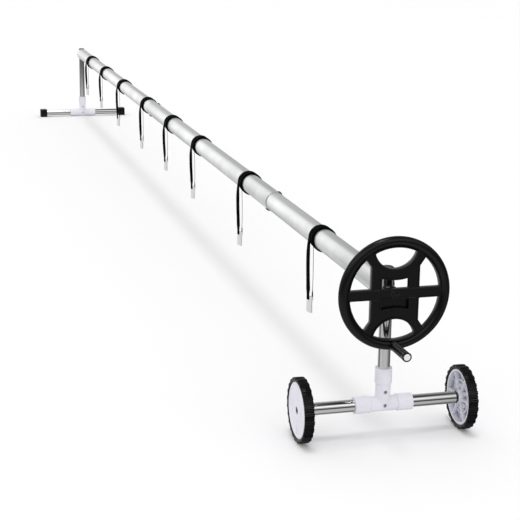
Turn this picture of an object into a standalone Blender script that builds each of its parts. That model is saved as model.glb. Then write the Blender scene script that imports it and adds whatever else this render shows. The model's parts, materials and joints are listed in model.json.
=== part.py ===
"""Cover reel: a telescoping tube on a wheeled stand and a fixed stand, turned by a handwheel."""
import math

import bmesh
import bpy
from mathutils import Matrix, Vector

# Stations along the reel, measured from the near post (+X is towards the handwheel).
POST_SPACING = 6.600
NEAR_SEAM = -1.226
FAR_SEAM = -3.700
STRAP_STATIONS = (-6.012, -5.364, -4.665, -3.857, -3.161, -2.508, -1.610, -0.634)
STRAP_WRAP_WIDTHS = (0.076, 0.074, 0.072, 0.068, 0.064, 0.060, 0.052, 0.044)
STRAP_DROPS = (0.176, 0.176, 0.187, 0.190, 0.185, 0.196, 0.205, 0.205)
HANDWHEEL_STATION = 0.0654

# Heights.
REEL_HEIGHT = 0.466
AXLE_HEIGHT = 0.100
BASE_HEIGHT = 0.0275
NEAR_POST_TOP = 0.060
FAR_POST_TOP = 0.033

# Stand tubes and fittings.
TUBE_RADIUS = 0.0190
TUBE_WALL = 0.0015
FIT_GAP = 0.0003
RUN_GAP = 0.0004
TOOL_REACH = 0.010
TEE_BODY_RADIUS = 0.0235
TEE_NECK_RADIUS = 0.0231
TEE_COLLAR_RADIUS = 0.0260
TEE_HALF_LENGTH = 0.092
TEE_COLLAR_LENGTH = 0.048
TEE_NECK_TOP = 0.116
TEE_SOCKET_FLOOR = 0.0225
SCREW_GAP = 0.0002
SCREW_HEAD_RADIUS = 0.0052
SCREW_DOME_RADIUS = 0.0039
SCREW_DOME_HEIGHTS = (0.0010, 0.0024, 0.0030)
SCREW_HEIGHT_UPPER = 0.043
SEAM_HEAD_RADIUS = 0.0090
SEAM_DOME_RADIUS = 0.0063
SEAM_DOME_HEIGHTS = (0.0018, 0.0034, 0.0042)
SEAM_HEAD_INSET = 0.0220
SEAM_HEAD_ANGLES = (-37.0, 143.0)
POST_CAP_DEPTH = 0.016
POST_CAP_OVERHANG = 0.0010
POST_CAP_CROWN_INSET = 0.0030
POST_CAP_HEIGHTS = (0.0030, 0.0056, 0.0064)
BUSHING_FLANGE_RADIUS = 0.0175
BUSHING_BARREL_RADIUS = 0.0120
BUSHING_REACH = (0.0080, 0.0236)
BUSHING_BARREL_REACH = (0.0110, 0.0230)
BUSHING_TAB_ANGLES = (115.0, 425.0)
BUSHING_TAB_HALF_WIDTH = 0.0074
BUSHING_TAB_TOP = 0.042

# Transport wheels.
WHEEL_RADIUS = 0.100
WHEEL_OUTER_FACE = 0.275
TYRE_WIDTH = 0.031
DISC_RADIUS = 0.0857
LUG_COUNT = 24
LUG_DEPTH = 0.0030
TYRE_EDGE_DROP = 0.0045
TYRE_SHOULDER = 0.0055
TYRE_BEAD_HEIGHT = 0.0050
TYRE_BEAD_SLOPE = 0.0015
AXLE_RADIUS = 0.0080
AXLE_TUBE_HALF = 0.2360
AXLE_PLUG_DEPTH = 0.0400
AXLE_COLLAR_LENGTH = 0.0060
AXLE_COLLAR_CHAMFER = 0.0020
AXLE_COLLAR_NOSE = 0.0130
AXLE_JOURNAL_REACH = 0.0080
NUT_RADII = (0.0105, 0.0075)
NUT_HEIGHTS = (0.0015, 0.0040, 0.0046)
DISC_HALF_WIDTH = 0.0125
DISC_RIM_WALL = 0.0060
DISC_RIM_PROUD = 0.0008
DISC_FACE_RADIUS = 0.0747
DISC_FACE_DROP = 0.0010
DISC_WEB_BACK = 0.0050
DISC_SEAT_FLOOR = 0.0030
HUB_RADIUS = 0.0200
HUB_EXTENSION = 0.0030
HUB_PAD_RADII = (0.0300, 0.0270)
HUB_PAD_PROUD = 0.0010
HUB_SEAT = 0.0122
RIB_COUNT = 6
RIB_HALF_THICKNESS = 0.0016
RIB_REACH = (0.0160, 0.0827)
RIB_DEPTHS = (-0.0105, 0.0060)

# Fixed stand.
BASE_HALF_LENGTH = 0.3174
END_CAP_LENGTH = 0.049
END_CAP_SIDE = 0.055
END_CAP_WALL = 0.0040
END_CAP_EDGE = 0.0035
BASE_TUBE_GAP = 0.0045

# Reel tubes.
MIDDLE_RADIUS = 0.0390
MIDDLE_WALL = 0.0014
SLIDING_RADIUS = 0.0373
SLIDING_WALL = 0.0016
TUBE_OVERLAP = 0.300
REEL_END = 0.0300
PLUG_DEPTH = 0.060
PLUG_FLANGE = 0.0045
PLUG_FLANGE_RADIUS = 0.0370
PLUG_CHAMFER = 0.0010
SHAFT_RADIUS = 0.0080
SHAFT_IN_HANDWHEEL = 0.0060
SHAFT_BEYOND_FAR_POST = 0.0340
THRUST_WASHER_RADIUS = 0.0150
SHAFT_COLLAR_RADIUS = 0.0140
SHAFT_COLLAR_INSET = 0.0010

# Handwheel and crank.
RIM_RADIUS = 0.1580
RIM_SECTION = 0.0150
WEB_HALF_THICKNESS = 0.0070
WEB_RADIUS = 0.1540
OPENING_REACH = 0.1405
LENS_CENTRE = 0.1440
LENS_RADIUS = 0.0680
POCKET_CENTRE = 0.1955
POCKET_RADIUS = 0.1535
POCKET_FLOOR = 0.0040
BAR_HALF_HEIGHT = 0.0155
POST_BAR_INNER = 0.0425
POST_BAR_OUTER = 0.0745
POST_BAR_STRAIGHT = 0.0830
SIDE_OPENING_TOP = 49.5
HUB_BOSS_RADIUS = 0.0145
HUB_BOSS_FRONT = 0.0088
HUB_BOSS_CHAMFER = 0.0012
HUB_JOIN = 0.0010
HUB_BORE_REACH = 0.0300
HUB_BARREL_RADIUS = 0.0175
HUB_BARREL_BACK = 0.0340
HUB_SEAT_RADIUS = 0.0105
HUB_SEAT_FLOOR = 0.0066
HUB_CAP_HEIGHTS = (0.0022, 0.0032, 0.0035)
GRIP_START = 0.0830
GRIP_END = 0.1880
GRIP_RADIUS = 0.0140
GRIP_NOSE = 0.0015
GRIP_RIB_DEPTH = 0.0012
GRIP_LEAD = 0.0060
GRIP_PLAIN = 0.0200
GRIP_LIP_START = 0.0125
GRIP_LIP_END = 0.0020
GRIP_LIP = 0.0006
GRIP_SEAT_RADIUS = 0.0124
GRIP_SEAT_DEPTH = 0.0045
SPINDLE_RADIUS = 0.0060
SPINDLE_HEAD_RADIUS = 0.0095
SPINDLE_HEAD = 0.0050
SPINDLE_SHOULDER_RADIUS = 0.0085
SPINDLE_FRONT_INSET = 0.0040
CRANK_CAP_RADII = (0.0118, 0.0080)
CRANK_CAP_EDGE = 0.0006
CRANK_CAP_CROWN = (0.0010, 0.0016)

# Straps and clips.
WEB_WIDTH = 0.0250
WEB_THICKNESS = 0.0020
WRAP_THICKNESS = 0.0060
INNER_WIDTH = 0.0200
OUTER_SHIFT = -0.0030
INNER_SHIFT = 0.0055
OUTER_STRAND_START = -0.0040
OUTER_STRAND_BEND = -0.0600
OUTER_STRAND_CLEARANCE = 0.0005
INNER_STRAND_DEPTH = 0.4
INNER_STRAND_START = (-0.72, -0.70)
EDGE_MARGIN = 0.0150
CLIP_HEIGHT = 0.058
CLIP_WIDTH = 0.032
CLIP_THICKNESS = 0.0070
CLIP_CENTRE_Y = -0.0385
CLIP_SLIT = 0.0018
CLIP_BRIDGE = 0.012
CLIP_CHAMFER = (0.0010, 0.0020)
CLIP_SEAT_DEPTH = 0.0005
CLIP_SEAT_HEIGHT = 0.0135
STRAND_LAP = 0.012
STRAND_BEND_ABOVE_CLIP = 0.004

# Smoothness of round parts.
FINE = 28
MEDIUM = 20
SMALL = 10
RIM_STEPS = 44
RIM_SIDES = 12
GRIP_SIDES = 16
GRIP_RIBS = 7
GRIP_RIB_SHARES = (0.62, 0.74, 0.90)
SMOOTH_TURNED = 40.0
SMOOTH_PRISM = 35.0
SMOOTH_RIM = 60.0
LENS_STEPS = 18
ARC_STEPS = 10
WINDOW_STEPS = 6

# Row frame: the origin is under the middle of the bounding box.
BACK_REACH = POST_SPACING + SHAFT_BEYOND_FAR_POST
FRONT_REACH = GRIP_END + CRANK_CAP_CROWN[1]
ORIGIN_SHIFT = (BACK_REACH - FRONT_REACH) / 2.0

COLOURS = {
    "stainless": ((0.60, 0.61, 0.62), 0.18, 1.0),
    "anodised": ((0.74, 0.75, 0.76), 0.35, 1.0),
    "zinc": ((0.50, 0.51, 0.52), 0.35, 1.0),
    "chrome": ((0.80, 0.81, 0.82), 0.08, 1.0),
    "white_plastic": ((0.83, 0.83, 0.86), 0.45, 0.0),
    "black_plastic": ((0.012, 0.012, 0.013), 0.28, 0.0),
    "black_nylon": ((0.018, 0.018, 0.019), 0.50, 0.0),
    "tyre": ((0.016, 0.016, 0.017), 0.70, 0.0),
    "webbing": ((0.010, 0.010, 0.011), 0.85, 0.0),
    "clip_plastic": ((0.78, 0.79, 0.80), 0.40, 0.0),
}


def clear_scene():
    for item in list(bpy.data.objects):
        bpy.data.objects.remove(item, do_unlink=True)


def make_material(node, finish):
    colour, roughness, metallic = COLOURS[finish]
    material = bpy.data.materials.new(node)
    material.use_nodes = True
    shader = material.node_tree.nodes["Principled BSDF"]
    shader.inputs["Base Color"].default_value = (*colour, 1.0)
    shader.inputs["Roughness"].default_value = roughness
    shader.inputs["Metallic"].default_value = metallic
    return material


def finish_mesh(bm, name, smooth_angle):
    bmesh.ops.recalc_face_normals(bm, faces=bm.faces)
    mesh = bpy.data.meshes.new(name)
    bm.to_mesh(mesh)
    bm.free()
    if smooth_angle:
        for polygon in mesh.polygons:
            polygon.use_smooth = True
        mesh.set_sharp_from_angle(angle=math.radians(smooth_angle))
    return mesh


def add_object(name, mesh, finish, location, rotation=(0.0, 0.0, 0.0)):
    item = bpy.data.objects.new(name, mesh)
    bpy.context.scene.collection.objects.link(item)
    item.location = (location[0] + ORIGIN_SHIFT, location[1], location[2])
    item.rotation_euler = rotation
    if finish:
        mesh.materials.append(make_material(name, finish))
    else:
        item.hide_render = True
        item.display_type = "WIRE"
    return item


def axis_matrix(axis):
    """Turn that carries the Z axis onto the named axis."""
    if axis == "X":
        return Matrix.Rotation(math.radians(90.0), 4, "Y")
    if axis == "Y":
        return Matrix.Rotation(math.radians(-90.0), 4, "X")
    return Matrix.Identity(4)


def lathe_mesh(name, profile, steps, axis):
    """Turn a closed (radius, height) outline about an axis; points on the axis become poles."""
    bm = bmesh.new()
    turn = axis_matrix(axis)
    rings = []
    for radius, height in profile:
        if radius == 0.0:
            rings.append([bm.verts.new(turn @ Vector((0.0, 0.0, height)))])
            continue
        ring = []
        for step in range(steps):
            angle = 2.0 * math.pi * step / steps
            point = Vector((radius * math.cos(angle), radius * math.sin(angle), height))
            ring.append(bm.verts.new(turn @ point))
        rings.append(ring)
    for index, ring in enumerate(rings):
        join_rings(bm, ring, rings[(index + 1) % len(rings)])
    return finish_mesh(bm, name, SMOOTH_TURNED)


def join_rings(bm, first, second):
    if len(first) == 1 and len(second) == 1:
        return
    count = max(len(first), len(second))
    for step in range(count):
        after = (step + 1) % count
        if len(first) == 1:
            bm.faces.new((first[0], second[step], second[after]))
        elif len(second) == 1:
            bm.faces.new((first[step], first[after], second[0]))
        else:
            bm.faces.new((first[step], first[after], second[after], second[step]))


def rod(name, finish, axis, place, start, end, radius, steps=FINE):
    profile = [(0.0, start), (radius, start), (radius, end), (0.0, end)]
    return add_object(name, lathe_mesh(name, profile, steps, axis), finish, place)


def pipe(name, finish, axis, place, start, end, outer, inner, steps=FINE):
    profile = [(inner, start), (outer, start), (outer, end), (inner, end)]
    return add_object(name, lathe_mesh(name, profile, steps, axis), finish, place)


def turned(name, finish, axis, place, profile, steps=FINE):
    return add_object(name, lathe_mesh(name, profile, steps, axis), finish, place)


def prism_mesh(name, outline, low, high):
    """Extrude a (y, z) outline along X."""
    bm = bmesh.new()
    back = [bm.verts.new((low, y, z)) for y, z in outline]
    front = [bm.verts.new((high, y, z)) for y, z in outline]
    bm.faces.new(back)
    bm.faces.new(front)
    count = len(outline)
    for index in range(count):
        after = (index + 1) % count
        bm.faces.new((back[index], back[after], front[after], front[index]))
    return finish_mesh(bm, name, SMOOTH_PRISM)


def combine(target, tool, operation):
    """Queue a boolean of the tool on the target."""
    modifier = target.modifiers.new(operation.lower() + "_" + tool.name, "BOOLEAN")
    modifier.operation = operation
    modifier.solver = "EXACT"
    modifier.object = tool


def soften(target, width):
    """Queue a two-step bevel on the sharp edges."""
    bevel = target.modifiers.new("edges", "BEVEL")
    bevel.width = width
    bevel.segments = 2
    bevel.limit_method = "ANGLE"


def arc(centre, radius, start, end, steps):
    """Points from the start angle to the end angle, in degrees, both included."""
    points = []
    for step in range(steps + 1):
        angle = math.radians(start + (end - start) * step / steps)
        across = centre[0] + radius * math.cos(angle)
        up = centre[1] + radius * math.sin(angle)
        points.append((across, up))
    return points


def dome(base, radius, crown_radius, heights):
    """Outline of a low domed head standing on its base."""
    edge, shoulder, crown = heights
    outline = [(0.0, base), (radius, base), (radius, base + edge)]
    outline += [(crown_radius, base + shoulder), (0.0, base + crown)]
    return outline


def screw_head(name, place):
    """Domed head whose flat underside faces -X at the given place."""
    profile = dome(0.0, SCREW_HEAD_RADIUS, SCREW_DOME_RADIUS, SCREW_DOME_HEIGHTS)
    return turned(name, "zinc", "X", place, profile, SMALL)


def build_tee(name, place):
    half = TEE_HALF_LENGTH
    collar = TEE_HALF_LENGTH - TEE_COLLAR_LENGTH
    outline = [
        (0.0, -half),
        (TEE_COLLAR_RADIUS, -half),
        (TEE_COLLAR_RADIUS, -collar),
        (TEE_BODY_RADIUS, -collar),
        (TEE_BODY_RADIUS, collar),
        (TEE_COLLAR_RADIUS, collar),
        (TEE_COLLAR_RADIUS, half),
        (0.0, half),
    ]
    tee = turned(name, "white_plastic", "Y", place, outline)
    neck_step = TEE_NECK_TOP - TEE_COLLAR_LENGTH
    neck_outline = [
        (0.0, 0.0),
        (TEE_NECK_RADIUS, 0.0),
        (TEE_NECK_RADIUS, neck_step),
        (TEE_COLLAR_RADIUS, neck_step),
        (TEE_COLLAR_RADIUS, TEE_NECK_TOP),
        (0.0, TEE_NECK_TOP),
    ]
    neck = turned(name + "_neck_tool", None, "Z", place, neck_outline)
    bore = TUBE_RADIUS + FIT_GAP
    reach = half + TOOL_REACH
    across = rod(name + "_bore_tool", None, "Y", place, -reach, reach, bore)
    above = TEE_NECK_TOP + TOOL_REACH
    upright = rod(name + "_socket_tool", None, "Z", place, TEE_SOCKET_FLOOR, above, bore)
    combine(tee, neck, "UNION")
    combine(tee, across, "DIFFERENCE")
    combine(tee, upright, "DIFFERENCE")
    return tee


def build_post(name, station, base, top):
    """Upright tube standing in its tee, with one cross hole for the reel's bushings."""
    place = (station, 0.0, 0.0)
    start = base + TEE_SOCKET_FLOOR + FIT_GAP
    inner = TUBE_RADIUS - TUBE_WALL
    end = REEL_HEIGHT + top
    post = pipe(name, "stainless", "Z", place, start, end, TUBE_RADIUS, inner)
    hole_place = (station, 0.0, REEL_HEIGHT)
    reach = TUBE_RADIUS + TOOL_REACH
    radius = BUSHING_BARREL_RADIUS + FIT_GAP
    hole = rod(name + "_hole_tool", None, "X", hole_place, -reach, reach, radius, MEDIUM)
    combine(post, hole, "DIFFERENCE")
    return post


def build_post_cap(name, station, top):
    """Press-in cap with a low domed head resting on the end of the tube."""
    inner = TUBE_RADIUS - TUBE_WALL - FIT_GAP
    outer = TUBE_RADIUS + POST_CAP_OVERHANG
    edge, shoulder, crown = POST_CAP_HEIGHTS
    profile = [
        (0.0, -POST_CAP_DEPTH),
        (inner, -POST_CAP_DEPTH),
        (inner, FIT_GAP),
        (outer, FIT_GAP),
        (outer, edge),
        (TUBE_RADIUS - POST_CAP_CROWN_INSET, shoulder),
        (0.0, crown),
    ]
    turned(name, "black_plastic", "Z", (station, 0.0, REEL_HEIGHT + top), profile)


def build_bushing(name, station, side, tab_top):
    """Flanged bearing: the flange is saddled to the post and the barrel passes its wall."""
    place = (station, 0.0, REEL_HEIGHT)
    outline = arc((0.0, 0.0), BUSHING_FLANGE_RADIUS, 0.0, 360.0, MEDIUM)[:-1]
    if tab_top:
        outline = arc((0.0, 0.0), BUSHING_FLANGE_RADIUS, *BUSHING_TAB_ANGLES, MEDIUM)
        outline += [(BUSHING_TAB_HALF_WIDTH, tab_top), (-BUSHING_TAB_HALF_WIDTH, tab_top)]
    ends = sorted(side * reach for reach in BUSHING_REACH)
    flange = add_object(name, prism_mesh(name, outline, *ends), "black_nylon", place)
    reach = BUSHING_TAB_TOP + TOOL_REACH
    saddle = rod(name + "_saddle_tool", None, "Z", place, -reach, reach, TUBE_RADIUS + FIT_GAP)
    barrel_ends = sorted(side * end for end in BUSHING_BARREL_REACH)
    radius = BUSHING_BARREL_RADIUS
    barrel = rod(name + "_barrel_tool", None, "X", place, *barrel_ends, radius, MEDIUM)
    bore_radius = SHAFT_RADIUS + RUN_GAP
    bore = rod(name + "_bore_tool", None, "X", place, -reach, reach, bore_radius, MEDIUM)
    combine(flange, saddle, "DIFFERENCE")
    combine(flange, barrel, "UNION")
    combine(flange, bore, "DIFFERENCE")


def build_tee_screws(prefix, station, height):
    """One screw holds the post in the tee, one holds the cross tube."""
    front = station + TEE_BODY_RADIUS + SCREW_GAP
    screw_head(prefix + "_screw_upper", (front, 0.0, height + SCREW_HEIGHT_UPPER))
    screw_head(prefix + "_screw_lower", (front, 0.0, height))


def tyre_mesh(name):
    """Ring with raised bars across the tread; stations go round the Y axis."""
    bm = bmesh.new()
    inner = DISC_RADIUS + FIT_GAP
    bead = inner + TYRE_BEAD_HEIGHT
    half = TYRE_WIDTH / 2.0
    top = WHEEL_RADIUS
    low = WHEEL_RADIUS - LUG_DEPTH
    steps = LUG_COUNT * 4
    rings = []
    for step in range(steps):
        crown = top if step % 4 in (0, 1) else low
        edge = crown - TYRE_EDGE_DROP
        section = [
            (inner, TYRE_BEAD_SLOPE - half),
            (bead, -half),
            (edge, -half),
            (crown, TYRE_SHOULDER - half),
            (crown, half - TYRE_SHOULDER),
            (edge, half),
            (bead, half),
            (inner, half - TYRE_BEAD_SLOPE),
        ]
        angle = 2.0 * math.pi * (step + 0.5) / steps
        ring = [bm.verts.new((r * math.sin(angle), y, r * math.cos(angle))) for r, y in section]
        rings.append(ring)
    for index, ring in enumerate(rings):
        join_rings(bm, ring, rings[(index + 1) % steps])
    return finish_mesh(bm, name, SMOOTH_PRISM)


def build_wheel(suffix, side):
    """One transport wheel, its stub axle pressed into the cross tube, and the axle's nut."""
    middle = side * (WHEEL_OUTER_FACE - TYRE_WIDTH / 2.0)
    place = (0.0, middle, AXLE_HEIGHT)
    add_object("tyre_" + suffix, tyre_mesh("tyre_" + suffix), "tyre", place)
    bore = AXLE_RADIUS + RUN_GAP
    half = DISC_HALF_WIDTH
    rim_inside = DISC_RADIUS - DISC_RIM_WALL
    section = [
        (bore, -half - HUB_EXTENSION),
        (HUB_RADIUS, -half - HUB_EXTENSION),
        (HUB_RADIUS, DISC_WEB_BACK),
        (rim_inside, DISC_WEB_BACK),
        (rim_inside, -half),
        (DISC_RADIUS, -half),
        (DISC_RADIUS, half),
        (rim_inside, half + DISC_RIM_PROUD),
        (DISC_FACE_RADIUS, half - DISC_FACE_DROP),
        (HUB_PAD_RADII[0], half - DISC_FACE_DROP),
        (HUB_PAD_RADII[1], half + HUB_PAD_PROUD),
        (HUB_SEAT, half + HUB_PAD_PROUD),
        (HUB_SEAT, DISC_SEAT_FLOOR),
        (bore, DISC_SEAT_FLOOR),
    ]
    profile = [(radius, side * width) for radius, width in section]
    disc = turned("wheel_disc_" + suffix, "white_plastic", "Y", place, profile)
    combine(disc, build_ribs("wheel_rib_tool_" + suffix, place, side), "UNION")
    add_axle(suffix, side, middle)


def add_block(bm, low, high, turn=Matrix.Identity(4)):
    """A closed box between two corners, turned about the origin."""
    corners = []
    for x in (low[0], high[0]):
        for y in (low[1], high[1]):
            for z in (low[2], high[2]):
                corners.append(bm.verts.new(turn @ Vector((x, y, z))))
    for a, b, c, d in ((0, 1, 3, 2), (4, 6, 7, 5), (0, 4, 5, 1), (2, 3, 7, 6), (0, 2, 6, 4), (1, 5, 7, 3)):
        bm.faces.new((corners[a], corners[b], corners[c], corners[d]))


def build_ribs(name, place, side):
    """Thin radial ribs on the inner face of the wheel, from the hub to the rim."""
    bm = bmesh.new()
    start, reach = RIB_REACH
    thick = RIB_HALF_THICKNESS
    low, high = sorted(side * depth for depth in RIB_DEPTHS)
    for index in range(RIB_COUNT):
        turn = Matrix.Rotation(2.0 * math.pi * (index + 0.5) / RIB_COUNT, 4, "Y")
        add_block(bm, (-thick, low, start), (thick, high, reach), turn)
    return add_object(name, finish_mesh(bm, name, 0.0), None, place)


def add_axle(suffix, side, middle):
    """Stub axle: a plug in the tube, a collar against its end and a journal through the hub."""
    bore = TUBE_RADIUS - TUBE_WALL - FIT_GAP
    end = side * AXLE_TUBE_HALF
    collar = end + side * FIT_GAP
    shoulder = end + side * AXLE_COLLAR_LENGTH
    journal_end = middle + side * AXLE_JOURNAL_REACH
    plug_end = end - side * AXLE_PLUG_DEPTH
    profile = [
        (0.0, plug_end),
        (bore, plug_end),
        (bore, collar),
        (TUBE_RADIUS, collar),
        (TUBE_RADIUS, shoulder - side * AXLE_COLLAR_CHAMFER),
        (AXLE_COLLAR_NOSE, shoulder),
        (AXLE_RADIUS, shoulder),
        (AXLE_RADIUS, journal_end),
        (0.0, journal_end),
    ]
    turned("axle_stub_" + suffix, "black_nylon", "Y", (0.0, 0.0, AXLE_HEIGHT), profile)
    nut_start = journal_end + side * FIT_GAP
    nut = dome(nut_start, *NUT_RADII, [side * height for height in NUT_HEIGHTS])
    turned("axle_cap_" + suffix, "black_plastic", "Y", (0.0, 0.0, AXLE_HEIGHT), nut, MEDIUM)


def build_near_stand():
    """Post and cross tube joined by a tee, on two wheels."""
    place = (0.0, 0.0, AXLE_HEIGHT)
    inner = TUBE_RADIUS - TUBE_WALL
    pipe("axle_tube", "stainless", "Y", place, -AXLE_TUBE_HALF, AXLE_TUBE_HALF, TUBE_RADIUS, inner)
    build_tee("near_tee", place)
    build_post("near_post", 0.0, AXLE_HEIGHT, NEAR_POST_TOP)
    build_post_cap("near_post_cap", 0.0, NEAR_POST_TOP)
    build_bushing("near_bushing_inner", 0.0, -1.0, 0.0)
    build_bushing("near_bushing_outer", 0.0, 1.0, BUSHING_TAB_TOP)
    build_tee_screws("near_tee", 0.0, AXLE_HEIGHT)
    build_wheel("left", -1.0)
    build_wheel("right", 1.0)


def build_end_cap(suffix, side):
    """Square foot closing one end of the base tube, with a blind bore and a flat sole."""
    name = "base_end_cap_" + suffix
    half = END_CAP_SIDE / 2.0
    outer = side * BASE_HALF_LENGTH
    inner = side * (BASE_HALF_LENGTH - END_CAP_LENGTH)
    bm = bmesh.new()
    low, high = sorted((inner, outer))
    add_block(bm, (-half, low, -half), (half, high, half))
    mesh = finish_mesh(bm, name, 0.0)
    place = (-POST_SPACING, 0.0, BASE_HEIGHT)
    cap = add_object(name, mesh, "black_plastic", place)
    soften(cap, END_CAP_EDGE)
    ends = sorted((inner - side * TOOL_REACH, outer - side * END_CAP_WALL))
    bore = rod(name + "_bore_tool", None, "Y", place, *ends, TUBE_RADIUS + FIT_GAP)
    combine(cap, bore, "DIFFERENCE")


def build_far_stand():
    """Post and base tube joined by a tee, standing on two square end caps."""
    station = -POST_SPACING
    place = (station, 0.0, BASE_HEIGHT)
    reach = BASE_HALF_LENGTH - BASE_TUBE_GAP
    pipe("base_tube", "stainless", "Y", place, -reach, reach, TUBE_RADIUS, TUBE_RADIUS - TUBE_WALL)
    build_tee("far_tee", place)
    build_post("far_post", station, BASE_HEIGHT, FAR_POST_TOP)
    build_post_cap("far_post_cap", station, FAR_POST_TOP)
    build_bushing("far_bushing_inner", station, 1.0, 0.0)
    build_bushing("far_bushing_outer", station, -1.0, 0.0)
    build_tee_screws("far_tee", station, BASE_HEIGHT)
    build_end_cap("left", -1.0)
    build_end_cap("right", 1.0)


def build_reel_plug(name, station, side):
    """Plug with a flange, seated in a reel tube's end; side points out of the tube."""
    inner = SLIDING_RADIUS - SLIDING_WALL - FIT_GAP
    bore = SHAFT_RADIUS + FIT_GAP
    profile = [
        (bore, -side * PLUG_DEPTH),
        (inner, -side * PLUG_DEPTH),
        (inner, side * FIT_GAP),
        (PLUG_FLANGE_RADIUS, side * FIT_GAP),
        (PLUG_FLANGE_RADIUS, side * (PLUG_FLANGE - PLUG_CHAMFER)),
        (PLUG_FLANGE_RADIUS - PLUG_CHAMFER, side * PLUG_FLANGE),
        (bore, side * PLUG_FLANGE),
    ]
    turned(name, "black_plastic", "X", (station, 0.0, REEL_HEIGHT), profile)


def build_reel_tubes():
    """A wide middle tube over two narrower ones, with a plug and a shaft in each outer end."""
    near_end = -REEL_END - PLUG_FLANGE
    far_end = -POST_SPACING + REEL_END + PLUG_FLANGE
    place = (0.0, 0.0, REEL_HEIGHT)
    slide_in = SLIDING_RADIUS - SLIDING_WALL
    near_start = NEAR_SEAM - TUBE_OVERLAP
    far_stop = FAR_SEAM + TUBE_OVERLAP
    pipe("reel_tube_near", "anodised", "X", place, near_start, near_end, SLIDING_RADIUS, slide_in)
    pipe("reel_tube_far", "anodised", "X", place, far_end, far_stop, SLIDING_RADIUS, slide_in)
    middle_in = MIDDLE_RADIUS - MIDDLE_WALL
    pipe("reel_tube_middle", "anodised", "X", place, FAR_SEAM, NEAR_SEAM, MIDDLE_RADIUS, middle_in)
    build_reel_plug("reel_plug_near", near_end, 1.0)
    build_reel_plug("reel_plug_far", far_end, -1.0)
    shaft_in = near_end - PLUG_DEPTH
    shaft_out = HANDWHEEL_STATION + SHAFT_IN_HANDWHEEL
    rod("shaft_near", "zinc", "X", place, shaft_in, shaft_out, SHAFT_RADIUS, MEDIUM)
    rod("shaft_far", "zinc", "X", place, -BACK_REACH, far_end + PLUG_DEPTH, SHAFT_RADIUS, MEDIUM)


def build_seam_screws():
    """The head and the nut of the bolt that locks each telescoping joint."""
    for seam, inward, label in ((NEAR_SEAM, -1.0, "near"), (FAR_SEAM, 1.0, "far")):
        place = (seam + inward * SEAM_HEAD_INSET, 0.0, REEL_HEIGHT)
        for number, angle in enumerate(SEAM_HEAD_ANGLES):
            name = "seam_screw_%s_%d" % (label, number + 1)
            base = MIDDLE_RADIUS + SCREW_GAP
            profile = dome(base, SEAM_HEAD_RADIUS, SEAM_DOME_RADIUS, SEAM_DOME_HEIGHTS)
            mesh = lathe_mesh(name, profile, SMALL, "Z")
            add_object(name, mesh, "black_nylon", place, (math.radians(angle), 0.0, 0.0))


def side_opening(mirror_y, mirror_z):
    """Opening between the rim, the cross bar and the flared upright bar."""
    rim_low = math.degrees(math.asin(BAR_HALF_HEIGHT / OPENING_REACH))
    points = [(POST_BAR_OUTER, POST_BAR_STRAIGHT), (POST_BAR_OUTER, BAR_HALF_HEIGHT)]
    points += arc((0.0, 0.0), OPENING_REACH, rim_low, SIDE_OPENING_TOP, ARC_STEPS)
    return [(mirror_y * y, mirror_z * z) for y, z in points]


def lens_opening(mirror_z):
    """Opening between the rim and the round end of the web."""
    meet = (OPENING_REACH ** 2 - LENS_RADIUS ** 2 + LENS_CENTRE ** 2) / (2.0 * LENS_CENTRE)
    cut = math.degrees(math.asin((meet - LENS_CENTRE) / LENS_RADIUS))
    lower = arc((0.0, LENS_CENTRE), LENS_RADIUS, 180.0 - cut, 360.0 + cut, LENS_STEPS)
    edge = math.degrees(math.asin(meet / OPENING_REACH))
    upper = arc((0.0, 0.0), OPENING_REACH, edge, 180.0 - edge, ARC_STEPS)[1:-1]
    return [(y, mirror_z * z) for y, z in lower + upper]


def box_opening(mirror_z):
    """Window beside the hub, with a slightly arched side towards the rim."""
    spread = math.degrees(math.asin(POST_BAR_INNER / POCKET_RADIUS))
    centre = (0.0, POCKET_CENTRE)
    top = arc(centre, POCKET_RADIUS, 270.0 + spread, 270.0 - spread, WINDOW_STEPS)
    points = [(-POST_BAR_INNER, BAR_HALF_HEIGHT), (POST_BAR_INNER, BAR_HALF_HEIGHT)] + top
    return [(y, mirror_z * z) for y, z in points]


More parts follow.
